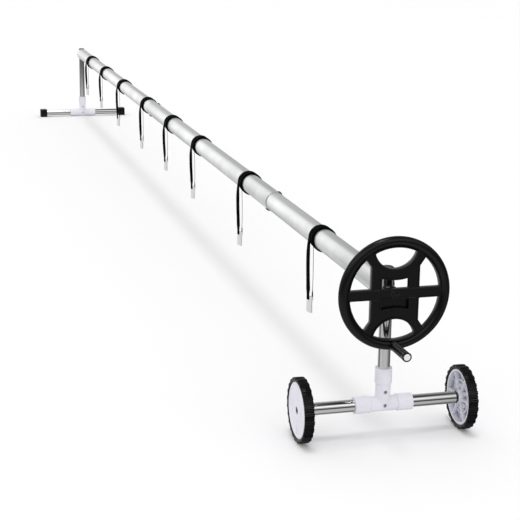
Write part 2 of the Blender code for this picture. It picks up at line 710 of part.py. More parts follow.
def build_handwheel():
    """Pierced web with a round rim, a hub and a bored seat for the crank."""
    place = (HANDWHEEL_STATION, 0.0, REEL_HEIGHT)
    name = "handwheel"
    half = WEB_HALF_THICKNESS
    reach = HUB_BARREL_BACK + TOOL_REACH
    plate = arc((0.0, 0.0), WEB_RADIUS, 0.0, 360.0, RIM_STEPS)[:-1]
    wheel = add_object(name, prism_mesh(name, plate, -half, half), "black_plastic", place)
    holes = [lens_opening(1.0), lens_opening(-1.0), box_opening(1.0)]
    for mirror_y, mirror_z in ((1, 1), (1, -1), (-1, 1), (-1, -1)):
        holes.append(side_opening(mirror_y, mirror_z))
    for number, outline in enumerate(holes):
        tool_name = "handwheel_hole_tool_%d" % number
        tool = add_object(tool_name, prism_mesh(tool_name, outline, -reach, reach), None, place)
        combine(wheel, tool, "DIFFERENCE")
    floor = POCKET_FLOOR - half
    pocket_mesh = prism_mesh("handwheel_pocket", box_opening(-1.0), floor, reach)
    pocket = add_object("handwheel_pocket_tool", pocket_mesh, None, place)
    combine(wheel, pocket, "DIFFERENCE")
    combine(wheel, build_handwheel_boss(place), "UNION")
    combine(wheel, build_rim(place), "UNION")
    seat_name = "handwheel_seat_tool"
    seat = rod(seat_name, None, "X", place, HUB_SEAT_FLOOR, reach, HUB_SEAT_RADIUS, MEDIUM)
    combine(wheel, seat, "DIFFERENCE")
    radius = SHAFT_RADIUS + FIT_GAP
    bore = rod("handwheel_bore_tool", None, "X", place, -reach, HUB_BORE_REACH, radius, MEDIUM)
    combine(wheel, bore, "DIFFERENCE")
    spindle_place = (HANDWHEEL_STATION, 0.0, REEL_HEIGHT - RIM_RADIUS)
    radius = SPINDLE_RADIUS + FIT_GAP
    hole_name = "handwheel_spindle_tool"
    hole = rod(hole_name, None, "X", spindle_place, -reach, reach, radius, MEDIUM)
    combine(wheel, hole, "DIFFERENCE")


def build_handwheel_boss(place):
    """Hub seen as a low disc in front and a longer barrel behind."""
    join = HUB_JOIN - WEB_HALF_THICKNESS
    profile = [
        (0.0, -HUB_BARREL_BACK),
        (HUB_BARREL_RADIUS, -HUB_BARREL_BACK),
        (HUB_BARREL_RADIUS, join),
        (HUB_BOSS_RADIUS, join),
        (HUB_BOSS_RADIUS, HUB_BOSS_FRONT - HUB_BOSS_CHAMFER),
        (HUB_BOSS_RADIUS - HUB_BOSS_CHAMFER, HUB_BOSS_FRONT),
        (0.0, HUB_BOSS_FRONT),
    ]
    return turned("handwheel_boss_tool", None, "X", place, profile, MEDIUM)


def build_rim(place):
    """Round-section ring; its rows of points sit between those of the web's edge."""
    bm = bmesh.new()
    rings = []
    for step in range(RIM_STEPS):
        around = 2.0 * math.pi * (step + 0.5) / RIM_STEPS
        ring = []
        for turn in range(RIM_SIDES):
            angle = 2.0 * math.pi * (turn + 0.5) / RIM_SIDES
            reach = RIM_RADIUS + RIM_SECTION * math.cos(angle)
            x = RIM_SECTION * math.sin(angle)
            ring.append(bm.verts.new((x, reach * math.cos(around), reach * math.sin(around))))
        rings.append(ring)
    for index, ring in enumerate(rings):
        join_rings(bm, ring, rings[(index + 1) % len(rings)])
    mesh = finish_mesh(bm, "handwheel_rim", SMOOTH_RIM)
    return add_object("handwheel_rim_tool", mesh, None, place)


def build_crank():
    """Fixed spindle through the rim with a free turning ribbed grip."""
    place = (0.0, 0.0, REEL_HEIGHT - RIM_RADIUS)
    back = HANDWHEEL_STATION - RIM_SECTION - SPINDLE_HEAD
    front = GRIP_END - SPINDLE_FRONT_INSET
    radius = SPINDLE_RADIUS
    rim_back = HANDWHEEL_STATION - RIM_SECTION - FIT_GAP
    rim_front = HANDWHEEL_STATION + RIM_SECTION + FIT_GAP
    profile = [
        (0.0, back),
        (SPINDLE_HEAD_RADIUS, back),
        (SPINDLE_HEAD_RADIUS, rim_back),
        (radius, rim_back),
        (radius, rim_front),
        (SPINDLE_SHOULDER_RADIUS, rim_front),
        (SPINDLE_SHOULDER_RADIUS, GRIP_START - RUN_GAP),
        (radius, GRIP_START - RUN_GAP),
        (radius, front),
        (0.0, front),
    ]
    turned("crank_spindle", "zinc", "X", place, profile, MEDIUM)
    build_grip(place)
    seat = front + FIT_GAP
    edge_radius, crown_radius = CRANK_CAP_RADII
    cap = [
        (0.0, seat),
        (edge_radius, seat),
        (edge_radius, GRIP_END - CRANK_CAP_EDGE),
        (crown_radius, GRIP_END + CRANK_CAP_CROWN[0]),
        (0.0, GRIP_END + CRANK_CAP_CROWN[1]),
    ]
    turned("crank_end_cap", "chrome", "X", place, cap, MEDIUM)


def build_grip(place):
    """Sleeve with raised rings along it and a lip round the end cap."""
    bore = SPINDLE_RADIUS + RUN_GAP
    valley = GRIP_RADIUS - GRIP_RIB_DEPTH
    pitch = (GRIP_END - GRIP_START - GRIP_PLAIN) / GRIP_RIBS
    top, slope, floor = GRIP_RIB_SHARES
    grip = [(bore, GRIP_START), (GRIP_RADIUS - GRIP_NOSE, GRIP_START)]
    for index in range(GRIP_RIBS):
        start = GRIP_START + GRIP_LEAD + pitch * index
        grip += [(GRIP_RADIUS, start), (GRIP_RADIUS, start + pitch * top)]
        grip += [(valley, start + pitch * slope), (valley, start + pitch * floor)]
    grip += [
        (GRIP_RADIUS, GRIP_END - GRIP_LIP_START),
        (GRIP_RADIUS + GRIP_LIP, GRIP_END - GRIP_LIP_END),
        (GRIP_RADIUS - GRIP_LIP, GRIP_END),
        (GRIP_SEAT_RADIUS, GRIP_END),
        (GRIP_SEAT_RADIUS, GRIP_END - GRIP_SEAT_DEPTH),
        (bore, GRIP_END - GRIP_SEAT_DEPTH),
    ]
    turned("crank_grip", "black_plastic", "X", place, grip, GRIP_SIDES)


def build_shaft_fittings():
    """Washer and collar that keep the shafts in place, and the button over the hub's bore."""
    place = (0.0, 0.0, REEL_HEIGHT)
    inner = SHAFT_RADIUS + FIT_GAP
    face = BUSHING_REACH[1] + RUN_GAP
    end = HANDWHEEL_STATION - HUB_BARREL_BACK - FIT_GAP
    radius = THRUST_WASHER_RADIUS
    pipe("near_thrust_washer", "black_nylon", "X", place, face, end, radius, inner, MEDIUM)
    start = SHAFT_COLLAR_INSET - BACK_REACH
    end = -POST_SPACING - face
    radius = SHAFT_COLLAR_RADIUS
    pipe("far_shaft_collar", "zinc", "X", place, start, end, radius, inner, MEDIUM)
    seat = HANDWHEEL_STATION + HUB_SEAT_FLOOR + FIT_GAP
    radius = HUB_SEAT_RADIUS - RUN_GAP
    cap = dome(seat, radius, radius - HUB_BOSS_CHAMFER, HUB_CAP_HEIGHTS)
    turned("handwheel_hub_cap", "black_plastic", "X", place, cap, MEDIUM)


def tube_radius_at(station):
    if FAR_SEAM < station < NEAR_SEAM:
        return MIDDLE_RADIUS
    return SLIDING_RADIUS


def strand_mesh(name, width, path):
    """Flat strand through a list of (x, y, z) points, from the top down."""
    bm = bmesh.new()
    rings = []
    across = width / 2.0
    deep = WEB_THICKNESS / 2.0
    for point in path:
        ring = []
        for i, j in ((-1.0, -1.0), (1.0, -1.0), (1.0, 1.0), (-1.0, 1.0)):
            ring.append(bm.verts.new(Vector(point) + Vector((i * across, j * deep, 0.0))))
        rings.append(ring)
    for index in range(len(path) - 1):
        join_rings(bm, rings[index], rings[index + 1])
    bm.faces.new(rings[0])
    bm.faces.new(rings[-1])
    return finish_mesh(bm, name, 0.0)


def add_strand(strap, name, width, place, path):
    tool = add_object(name, strand_mesh(name, width, path), None, place)
    combine(strap, tool, "UNION")


def clip_place(index):
    """Middle of a clip's top edge; it hangs under the edge of the wrap away from the handwheel."""
    station = STRAP_STATIONS[index] - STRAP_WRAP_WIDTHS[index] / 2.0 + EDGE_MARGIN
    return (station, CLIP_CENTRE_Y, REEL_HEIGHT - STRAP_DROPS[index])


def strand_foot(side, x, drop):
    """The last two points of a strand, flat in the seat on one face of the clip."""
    spread = CLIP_THICKNESS / 2.0 - CLIP_SEAT_DEPTH + FIT_GAP + WEB_THICKNESS / 2.0
    y = CLIP_CENTRE_Y + side * spread
    return [(x, y, STRAND_BEND_ABOVE_CLIP - drop), (x, y, -drop - STRAND_LAP)]


def build_strap(number, index):
    """Webbing wound on itself round the tube, with both ends hanging to the clip."""
    name = "strap_%d" % number
    station = STRAP_STATIONS[index]
    drop = STRAP_DROPS[index]
    place = (station, 0.0, REEL_HEIGHT)
    inner = tube_radius_at(station) + RUN_GAP
    outer = inner + WRAP_THICKNESS
    half = STRAP_WRAP_WIDTHS[index] / 2.0
    strap = pipe(name, "webbing", "X", place, -half, half, outer, inner, FINE)
    clip = clip_place(index)
    x = clip[0] - station + OUTER_SHIFT
    path = [(x, -(inner + outer) / 2.0, OUTER_STRAND_START)]
    path += [(x, -outer - OUTER_STRAND_CLEARANCE, OUTER_STRAND_BEND)]
    path += strand_foot(-1.0, x, drop)
    add_strand(strap, name + "_outer_tool", WEB_WIDTH, place, path)
    x = clip[0] - station + INNER_SHIFT
    radius = inner + WRAP_THICKNESS * INNER_STRAND_DEPTH
    y, z = INNER_STRAND_START
    path = [(x, radius * y, radius * z)] + strand_foot(1.0, x, drop)
    add_strand(strap, name + "_inner_tool", INNER_WIDTH, place, path)
    build_clip(number, clip)


def build_clip(number, place):
    """Two thin leaves joined along the top; the cover's edge goes up between them."""
    name = "strap_clip_%d" % number
    half = CLIP_THICKNESS / 2.0
    slit = CLIP_SLIT / 2.0
    seat = half - CLIP_SEAT_DEPTH
    across, up = CLIP_CHAMFER
    right = [
        (seat, 0.0),
        (seat, -CLIP_SEAT_HEIGHT),
        (half, -CLIP_SEAT_HEIGHT),
        (half, up - CLIP_HEIGHT),
        (half - across, -CLIP_HEIGHT),
        (slit, -CLIP_HEIGHT),
        (slit, -CLIP_BRIDGE),
    ]
    left = [(-y, z) for y, z in reversed(right)]
    mesh = prism_mesh(name, right + left, -CLIP_WIDTH / 2.0, CLIP_WIDTH / 2.0)
    add_object(name, mesh, "clip_plastic", place)


def main():
    clear_scene()
    build_near_stand()
    build_far_stand()
    build_reel_tubes()
    build_seam_screws()
    build_handwheel()
    build_crank()
    build_shaft_fittings()
    for index in range(len(STRAP_STATIONS)):
        build_strap(len(STRAP_STATIONS) - index, index)


main()
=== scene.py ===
import json
import math
import random

import bmesh
import bpy
from mathutils import Matrix, Vector

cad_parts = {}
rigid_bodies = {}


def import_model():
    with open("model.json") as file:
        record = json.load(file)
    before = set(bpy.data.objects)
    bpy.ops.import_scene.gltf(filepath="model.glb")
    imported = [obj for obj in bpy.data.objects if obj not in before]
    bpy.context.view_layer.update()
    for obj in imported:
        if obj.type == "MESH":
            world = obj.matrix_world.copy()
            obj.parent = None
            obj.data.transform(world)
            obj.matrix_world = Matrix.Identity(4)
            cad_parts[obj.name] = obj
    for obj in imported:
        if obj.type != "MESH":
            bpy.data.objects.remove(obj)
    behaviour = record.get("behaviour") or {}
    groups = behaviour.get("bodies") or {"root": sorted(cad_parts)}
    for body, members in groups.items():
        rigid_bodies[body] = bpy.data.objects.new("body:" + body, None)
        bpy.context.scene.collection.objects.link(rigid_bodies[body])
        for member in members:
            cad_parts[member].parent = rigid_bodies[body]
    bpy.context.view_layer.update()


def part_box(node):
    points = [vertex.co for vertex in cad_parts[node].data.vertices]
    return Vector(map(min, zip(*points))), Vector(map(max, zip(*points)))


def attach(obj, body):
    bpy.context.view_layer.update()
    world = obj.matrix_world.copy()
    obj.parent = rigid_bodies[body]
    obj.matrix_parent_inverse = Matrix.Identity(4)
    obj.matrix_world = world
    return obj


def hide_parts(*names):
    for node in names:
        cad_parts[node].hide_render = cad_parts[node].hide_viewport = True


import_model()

# ---------------------------------------------------------------- places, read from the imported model


def middle(node):
    low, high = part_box(node)
    return (Vector(low) + Vector(high)) / 2.0


NEAR = middle("near_post").x
FAR = middle("far_post").x
REEL_Z = middle("shaft_near").z
AXLE_Z = middle("axle_tube").z
BASE_Z = middle("base_tube").z
WHEEL_X = NEAR + 0.0654

# metres: radius and bore of the stand tubes, and the gap that is closed after a boolean
TUBE_R, TUBE_BORE = 0.0190, 0.0175
WELD = 5e-6
MOST_SIDES = 8

# ---------------------------------------------------------------- meshes

TINY = 1e-9
NEARLY_STRAIGHT = math.radians(172.0)
LARGEST_CUT = 0.45
CORNER_STEPS = 3
# a lathe works along Z; these turn it to each axis
TURN = {
    "X": Matrix.Rotation(math.radians(90.0), 4, "Y"),
    "Y": Matrix.Rotation(math.radians(-90.0), 4, "X"),
    "Z": Matrix.Identity(4)}
# turns a plate drawn in XY into one drawn in YZ
UPRIGHT = Matrix(((0, 0, 1, 0), (1, 0, 0, 0), (0, 1, 0, 0), (0, 0, 0, 1)))


def link(obj, body, nodes=(), mat=None):
    """Puts a piece in the scene with its material, the nodes it stands for and the body it rides."""
    if obj.name not in bpy.context.scene.collection.objects:
        bpy.context.scene.collection.objects.link(obj)
    if mat is not None:
        obj.data.materials.clear()
        obj.data.materials.append(mat)
    if nodes:
        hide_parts(*nodes)
    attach(obj, body)
    return obj


def make_object(name, bm, angle=35.0):
    """Turns a bmesh into an object, smooth except at edges sharper than an angle in degrees."""
    bmesh.ops.recalc_face_normals(bm, faces=bm.faces)
    mesh = bpy.data.meshes.new(name)
    bm.to_mesh(mesh)
    bm.free()
    return shade(bpy.data.objects.new(name, mesh), angle)


def fillet(points, radius):
    """Rounds the corners of a closed outline, except points on its axis and nearly straight corners."""
    out = []
    count = len(points)
    for i in range(count):
        a, b, c = Vector(points[i - 1]), Vector(points[i]), Vector(points[(i + 1) % count])
        u, v = a - b, c - b
        if u.length < TINY or v.length < TINY or abs(b.x) < TINY:
            out.append(tuple(b))
            continue
        lu, lv = u.length, v.length
        u.normalize()
        v.normalize()
        theta = math.acos(max(-1.0, min(1.0, u.dot(v))))
        if theta > NEARLY_STRAIGHT:
            out.append(tuple(b))
            continue
        t = min(radius / math.tan(theta / 2.0), LARGEST_CUT * lu, LARGEST_CUT * lv)
        p, q = b + u * t, b + v * t
        for k in range(CORNER_STEPS + 1):
            s = k / CORNER_STEPS
            out.append(tuple(p * (1 - s) ** 2 + b * 2 * s * (1 - s) + q * s ** 2))
    return out


def bridge(bm, first, second):
    """Faces between two rings of points; either ring may be one point on the axis."""
    if len(first) == 1 and len(second) == 1:
        return
    count = max(len(first), len(second))
    for k in range(count):
        n = (k + 1) % count
        if len(first) == 1:
            bm.faces.new((first[0], second[k], second[n]))
        elif len(second) == 1:
            bm.faces.new((first[k], first[n], second[0]))
        else:
            bm.faces.new((first[k], first[n], second[n], second[k]))


def lathe(name, axis, place, profile, soft=0.0, steps=96):
    """Turns a closed (radius, height) outline; heights are along the axis from place."""
    if soft:
        profile = fillet(profile, soft)
    bm = bmesh.new()
    turn = TURN[axis]
    rings = []
    for r, h in profile:
        if r < TINY:
            rings.append([bm.verts.new(turn @ Vector((0, 0, h)))])
        else:
            ring = []
            for k in range(steps):
                a = 2 * math.pi * k / steps
                ring.append(bm.verts.new(turn @ Vector((r * math.cos(a), r * math.sin(a), h))))
            rings.append(ring)
    for i in range(len(rings)):
        bridge(bm, rings[i], rings[(i + 1) % len(rings)])
    obj = make_object(name, bm)
    obj.location = place
    return obj


def pipe(name, axis, place, start, end, outer, inner, soft=0.0006, steps=96):
    """Tube between two heights."""
    return lathe(name, axis, place, [(inner, start), (outer, start), (outer, end), (inner, end)], soft, steps)


def rod(name, axis, place, start, end, radius, soft=0.0, steps=48):
    """Solid round bar between two heights."""
    return lathe(name, axis, place, [(0.0, start), (radius, start), (radius, end), (0.0, end)], soft, steps)


def arc(cx, cy, r, start, end, steps):
    """Points on a circle between two angles in degrees."""
    pts = []
    for k in range(steps + 1):
        a = math.radians(start + (end - start) * k / steps)
        pts.append((cx + r * math.cos(a), cy + r * math.sin(a)))
    return pts


def plate(name, outlines, half, bevel, place, res=3):
    """Flat plate with holes and rounded edges; outlines are (y, z), thickness is along X."""
    curve = bpy.data.curves.new(name, "CURVE")
    curve.dimensions = "2D"
    curve.fill_mode = "BOTH"
    curve.extrude = half - bevel
    curve.bevel_depth = bevel
    curve.bevel_resolution = res
    curve.offset = -bevel
    for outline in outlines:
        spline = curve.splines.new("POLY")
        spline.points.add(len(outline) - 1)
        for point, (y, z) in zip(spline.points, outline):
            point.co = (y, z, 0.0, 1.0)
        spline.use_cyclic_u = True
    holder = bpy.data.objects.new(name, curve)
    bpy.context.scene.collection.objects.link(holder)
    bpy.context.view_layer.update()
    mesh = bpy.data.meshes.new_from_object(holder.evaluated_get(bpy.context.evaluated_depsgraph_get()))
    bpy.data.objects.remove(holder, do_unlink=True)
    mesh.transform(UPRIGHT)
    bm = bmesh.new()
    bm.from_mesh(mesh)
    bmesh.ops.remove_doubles(bm, verts=bm.verts, dist=1e-6)
    obj = make_object(name, bm, 40.0)
    obj.location = place
    return obj


def block(name, low, high, bevel, segments=3):
    """Box between two corners with rounded edges."""
    bm = bmesh.new()
    xs, ys, zs = zip(low, high)
    v = [bm.verts.new((x, y, z)) for x in xs for y in ys for z in zs]
    for f in ((0, 1, 3, 2), (4, 6, 7, 5), (0, 4, 5, 1), (2, 3, 7, 6), (0, 2, 6, 4), (1, 5, 7, 3)):
        bm.faces.new([v[i] for i in f])
    bmesh.ops.bevel(bm, geom=list(bm.edges), offset=bevel, segments=segments, profile=0.5, affect="EDGES")
    return make_object(name, bm, 40.0)


def baked(obj):
    """Applies an object's modifiers, then closes the tiny gaps that a boolean leaves."""
    bpy.context.view_layer.update()
    mesh = bpy.data.meshes.new_from_object(obj.evaluated_get(bpy.context.evaluated_depsgraph_get()))
    obj.modifiers.clear()
    bm = bmesh.new()
    bm.from_mesh(mesh)
    bmesh.ops.remove_doubles(bm, verts=bm.verts, dist=WELD)
    bmesh.ops.dissolve_degenerate(bm, edges=bm.edges, dist=WELD)
    bmesh.ops.holes_fill(bm, edges=[edge for edge in bm.edges if edge.is_boundary], sides=MOST_SIDES)
    bm.to_mesh(mesh)
    bm.free()
    obj.data = mesh
    return obj


def merge(name, objs):
    """Joins several meshes, each a closed shell, into one object at the world origin."""
    bm = bmesh.new()
    for obj in objs:
        mesh = obj.data.copy()
        mesh.transform(obj.matrix_basis)
        bm.from_mesh(mesh)
        bpy.data.meshes.remove(mesh)
    mesh = bpy.data.meshes.new(name)
    bm.to_mesh(mesh)
    bm.free()
    for obj in objs:
        bpy.data.objects.remove(obj, do_unlink=True)
    return bpy.data.objects.new(name, mesh)


def shade(obj, angle=30.0):
    """Smooth shading with sharp edges kept above an angle in degrees."""
    for poly in obj.data.polygons:
        poly.use_smooth = True
    obj.data.set_sharp_from_angle(angle=math.radians(angle))
    return obj


def combine(obj, tools, operation):
    """Applies one boolean per tool, then deletes the tools."""
    shown = bpy.context.scene.collection.objects
    for item in [obj] + tools:
        if item.name not in shown:
            shown.link(item)
    for tool in tools:
        mod = obj.modifiers.new("combine", "BOOLEAN")
        mod.operation, mod.solver, mod.object = operation, "EXACT", tool
    baked(obj)
    for tool in tools:
        bpy.data.objects.remove(tool, do_unlink=True)
    return shade(obj)


def fuse(name, objs):
    """Unites closed meshes into one clean closed mesh."""
    base = combine(objs[0], objs[1:], "UNION")
    base.name = name
    return base


# ---------------------------------------------------------------- materials


def grey(value):
    """A colour for a socket, from one brightness or from red, green and blue."""
    if isinstance(value, (int, float)):
        return (value, value, value, 1.0)
    return (*value, 1.0)


def set_stops(ramp, stops):
    """Gives a colour ramp these (position, brightness or colour) stops and no others."""
    while len(ramp.elements) > 1:
        ramp.elements.remove(ramp.elements[0])
    ramp.elements[0].position = stops[0][0]
    ramp.elements[0].color = grey(stops[0][1])
    for pos, value in stops[1:]:
        ramp.elements.new(pos).color = grey(value)


class Nodes:
    """A material's node tree, with short calls for the nodes used here."""

    def __init__(self, name, mat=None):
        self.mat = mat or bpy.data.materials.new(name)
        self.mat.use_nodes = True
        self.tree = self.mat.node_tree
        self.bsdf = self.tree.nodes["Principled BSDF"]

    def add(self, kind, **values):
        node = self.tree.nodes.new(kind)
        for key, value in values.items():
            setattr(node, key, value)
        return node

    def join(self, out, into):
        self.tree.links.new(out, into)

    def coords(self, scale):
        """Coordinates in the object's own metres, times a scale along each axis."""
        tex = self.add("ShaderNodeTexCoord")
        mapping = self.add("ShaderNodeMapping")
        mapping.inputs["Scale"].default_value = scale
        self.join(tex.outputs["Object"], mapping.inputs["Vector"])
        return mapping.outputs["Vector"]

    def noise(self, vector, scale=1.0, detail=3.0, rough=0.5):
        node = self.add("ShaderNodeTexNoise")
        node.inputs["Scale"].default_value = scale
        node.inputs["Detail"].default_value = detail
        node.inputs["Roughness"].default_value = rough
        self.join(vector, node.inputs["Vector"])
        return node.outputs["Fac"]

    def ramp(self, fac, stops):
        node = self.add("ShaderNodeValToRGB")
        set_stops(node.color_ramp, stops)
        self.join(fac, node.inputs["Fac"])
        return node.outputs["Color"]

    def mix(self, fac, first, second):
        node = self.add("ShaderNodeMix", data_type="RGBA")
        self.join(fac, node.inputs["Factor"])
        self.join(first, node.inputs["A"])
        node.inputs["B"].default_value = second
        return node.outputs["Result"]

    def bump(self, height, strength, distance):
        node = self.add("ShaderNodeBump")
        node.inputs["Strength"].default_value = strength
        node.inputs["Distance"].default_value = distance
        self.join(height, node.inputs["Height"])
        self.join(node.outputs["Normal"], self.bsdf.inputs["Normal"])

    def math(self, operation, a, b):
        node = self.add("ShaderNodeMath", operation=operation)
        for socket, value in zip(node.inputs, (a, b)):
            if isinstance(value, (int, float)):
                socket.default_value = value
            else:
                self.join(value, socket)
        return node.outputs[0]


def metal(name, along, tone, rough, lines=0.25, metallic=1.0):
    """Drawn metal: long fine lines along one axis, soft smudges, slightly uneven polish."""
    n = Nodes(name)
    long, short = 2.0, 900.0
    stretch = [long if axis == along else short for axis in "XYZ"]
    fine = n.noise(n.coords(stretch), 1.0, 4.0, 0.6)
    smudge = n.noise(n.coords((9.0, 9.0, 9.0)), 1.0, 5.0, 0.6)
    shade = n.ramp(fine, [(0.25, tuple(c * 0.93 for c in tone)), (0.75, tone)])
    n.join(shade, n.bsdf.inputs["Base Color"])
    spread = n.math("MULTIPLY", smudge, rough * 0.9)
    n.join(n.math("ADD", spread, rough * 0.55), n.bsdf.inputs["Roughness"])
    n.bsdf.inputs["Metallic"].default_value = metallic
    n.bump(fine, lines, 0.00004)
    return n.mat


def plastic(name, tone, rough, grain, scale, wear=0.0, worn=0.0, shine=0.5):
    """Moulded plastic: fine grain, faint uneven gloss and rubbed edges."""
    n = Nodes(name)
    grain_fac = n.noise(n.coords((scale,) * 3), 1.0, 3.0, 0.55)
    patch = n.noise(n.coords((14.0,) * 3), 1.0, 4.0, 0.6)
    shade = n.ramp(patch, [(0.3, tuple(c * 0.90 for c in tone)), (0.7, tone)])
    if wear:
        geo = n.add("ShaderNodeNewGeometry")
        edge = n.ramp(geo.outputs["Pointiness"], [(0.505, 0.0), (0.60, wear)])
        shade = n.mix(edge, shade, grey(worn))
    n.join(shade, n.bsdf.inputs["Base Color"])
    spread = n.math("MULTIPLY", patch, rough * 0.5)
    n.join(n.math("ADD", spread, rough * 0.75), n.bsdf.inputs["Roughness"])
    n.bsdf.inputs["Specular IOR Level"].default_value = shine
    n.bump(grain_fac, grain, 0.00006)
    return n.mat


def wheel_plastic_dish_shaded(name, side):
    """Moulded plastic with painted shade: greyer and mottled down in the dish on the inner side of the wheel.
    """
    mat = plastic(name, WHITE_TONE, 0.40, 0.12, 600.0)
    n = Nodes(name, mat)
    split = n.add("ShaderNodeSeparateXYZ")
    n.join(n.add("ShaderNodeTexCoord").outputs["Object"], split.inputs["Vector"])
    # depth runs from 0 to 1 over 20 mm across the middle of the wheel, growing outwards
    depth = n.math("ADD", n.math("MULTIPLY", split.outputs["Y"], side * 50.0), 0.5)
    speck = n.math("SUBTRACT", n.noise(n.coords((150.0,) * 3), 1.0, 2.0, 0.5), 0.5)
    dish_shade_mask = n.math("ADD", depth, n.math("MULTIPLY", speck, 0.35))
    # painted shade: the mask darkens the dish towards its floor, and noise breaks up its edge
    painted_dish_shade = n.ramp(dish_shade_mask, [(0.40, 0.0), (0.58, 0.25), (0.74, 0.9), (0.88, 0.9), (0.95, 0.0)])
    plain = n.bsdf.inputs["Base Color"].links[0].from_socket
    n.join(n.mix(painted_dish_shade, plain, DISH_SHADE_TONE), n.bsdf.inputs["Base Color"])
    return mat


def rubber(name):
    """Matt black rubber, blotched and finely pitted."""
    n = Nodes(name)
    coarse = n.noise(n.coords((60.0,) * 3), 1.0, 6.0, 0.65)
    fine = n.noise(n.coords((1400.0,) * 3), 1.0, 2.0, 0.5)
    shade = n.ramp(coarse, [(0.3, (0.0010, 0.0010, 0.0010)), (0.72, (0.0030, 0.0030, 0.0031))])
    n.join(shade, n.bsdf.inputs["Base Color"])
    n.join(n.math("ADD", n.math("MULTIPLY", coarse, 0.25), 0.22), n.bsdf.inputs["Roughness"])
    n.bsdf.inputs["Specular IOR Level"].default_value = 0.22
    n.bump(fine, 0.35, 0.00015)
    return n.mat


def webbing(name):
    """Plain woven strap: ribs across it and twin rows along it, from the mesh's own strap coordinates."""
    n = Nodes(name)
    warps, wefts = 12.0, 620.0
    split = n.add("ShaderNodeSeparateXYZ")
    n.join(n.add("ShaderNodeUVMap").outputs["UV"], split.inputs["Vector"])
    warp = n.math("SINE", n.math("MULTIPLY", split.outputs["X"], 2 * math.pi * warps), 0.0)
    offset = n.math("MULTIPLY", n.math("SIGN", warp, 0.0), 0.25)
    along = n.math("ADD", n.math("MULTIPLY", split.outputs["Y"], wefts), offset)
    weft = n.math("SINE", n.math("MULTIPLY", along, 2 * math.pi), 0.0)
    raised = n.math("ADD", n.math("MULTIPLY", weft, 0.5), 0.5)
    weave = n.math("MULTIPLY", n.math("ABSOLUTE", warp, 0.0), raised)
    fuzz = n.noise(n.coords((2200.0,) * 3), 1.0, 2.0, 0.6)
    height = n.math("ADD", weave, n.math("MULTIPLY", fuzz, 0.3))
    shade = n.ramp(height, [(0.1, 0.0004), (0.8, (0.0014, 0.0014, 0.0015)), (1.0, (0.0030, 0.0030, 0.0033))])
    n.join(shade, n.bsdf.inputs["Base Color"])
    n.bsdf.inputs["Roughness"].default_value = 0.82
    n.bsdf.inputs["Specular IOR Level"].default_value = 0.04
    n.bump(height, 0.7, 0.0003)
    return n.mat


WHITE_TONE = (0.86, 0.85, 0.925)
# painted shade: the dark blue-grey laid into each wheel's dish
DISH_SHADE_TONE = (0.28, 0.30, 0.43, 1.0)
STEEL = {axis: metal("stainless_" + axis, axis, (0.93, 0.93, 0.94), 0.10) for axis in "XYZ"}
ALLOY = metal("anodised", "X", (0.90, 0.905, 0.91), 0.34, 0.35)
ZINC = metal("zinc", "Z", (0.55, 0.56, 0.57), 0.30)
# painted reflection: the crank cap is barely metallic, and its near-white colour stands in for a chrome
# mirror
PAINTED_CHROME = metal("chrome", "X", (0.92, 0.92, 0.93), 0.16, 0.1, metallic=0.15)
WHITE = plastic("white_plastic", WHITE_TONE, 0.40, 0.12, 600.0)
BLACK = plastic("black_plastic", (0.0024, 0.0024, 0.0026), 0.25, 0.18, 420.0, wear=0.5, worn=0.03, shine=0.3)
NYLON = plastic("black_nylon", (0.0055, 0.0055, 0.006), 0.48, 0.25, 900.0, wear=0.4, worn=0.04, shine=0.3)
CLIP = plastic("clip_plastic", (0.77, 0.775, 0.785), 0.38, 0.12, 800.0)
RUBBER = rubber("tyre_rubber")
STRAP = webbing("strap_webbing")

# ---------------------------------------------------------------- stands

TEE_R, TEE_GROOVE, TEE_SEAM_HALF = 0.0260, 0.0009, 0.0006
BARREL_R, BARREL_SEAM, BARREL_END = 0.0235, 0.0432, 0.0920
NECK_R, NECK_SEAM, NECK_END = 0.0233, 0.0670, 0.1160
TEE_BORE, TEE_BLEND = 0.0192, 0.0028
# how far above the cross tube's middle a post starts, inside the tee
POST_START = 0.0228
SHAFT_HOLE = 0.0123
SADDLE_R, BEARING_BORE = 0.0193, 0.0084


def hub_outline(waist, seam, end):
    """From the tee's waist over the moulded groove to the end of the hub, as (radius, height)."""
    low = waist - TEE_GROOVE
    return [
        (waist, seam - 2 * TEE_SEAM_HALF), (low, seam - TEE_SEAM_HALF), (low, seam + TEE_SEAM_HALF),
        (TEE_R, seam + 0.0010), (TEE_R, end), (0.0, end)]


def blend_neck(mesh):
    """Rounds the edge where the neck meets the barrel."""
    bm = bmesh.new()
    bm.from_mesh(mesh)
    meeting = []
    for edge in bm.edges:
        if len(edge.link_faces) != 2 or edge.calc_face_angle(0.0) < 0.5:
            continue
        mid = (edge.verts[0].co + edge.verts[1].co) / 2
        if 0.004 < mid.z < 0.040 and abs(mid.y) < 0.0245:
            meeting.append(edge)
    bmesh.ops.bevel(
        bm, geom=meeting, offset=TEE_BLEND, segments=4, profile=0.5, affect="EDGES", clamp_overlap=True)
    bm.to_mesh(mesh)
    bm.free()


def tee(name, place):
    """Three hubs in one moulding, with a soft blend where the neck meets the barrel."""
    half = hub_outline(BARREL_R, BARREL_SEAM, BARREL_END)
    barrel = fillet([(r, -h) for r, h in reversed(half)] + half, 0.0006)
    neck = fillet([(0.0, 0.0), (NECK_R, 0.0)] + hub_outline(NECK_R, NECK_SEAM, NECK_END), 0.0006)
    base = lathe(name + "_moulding", "Y", place, barrel, 0.0, 64)
    up = lathe(name + "_up", "Z", place, neck, 0.0, 64)
    cut_y = rod(name + "_cy", "Y", place, -0.12, 0.12, TEE_BORE, steps=64)
    cut_z = rod(name + "_cz", "Z", place, 0.0225, 0.14, TEE_BORE, steps=64)
    combine(base, [up], "UNION")
    blend_neck(base.data)
    combine(base, [cut_y, cut_z], "DIFFERENCE")
    link(base, "stands", [name], WHITE)


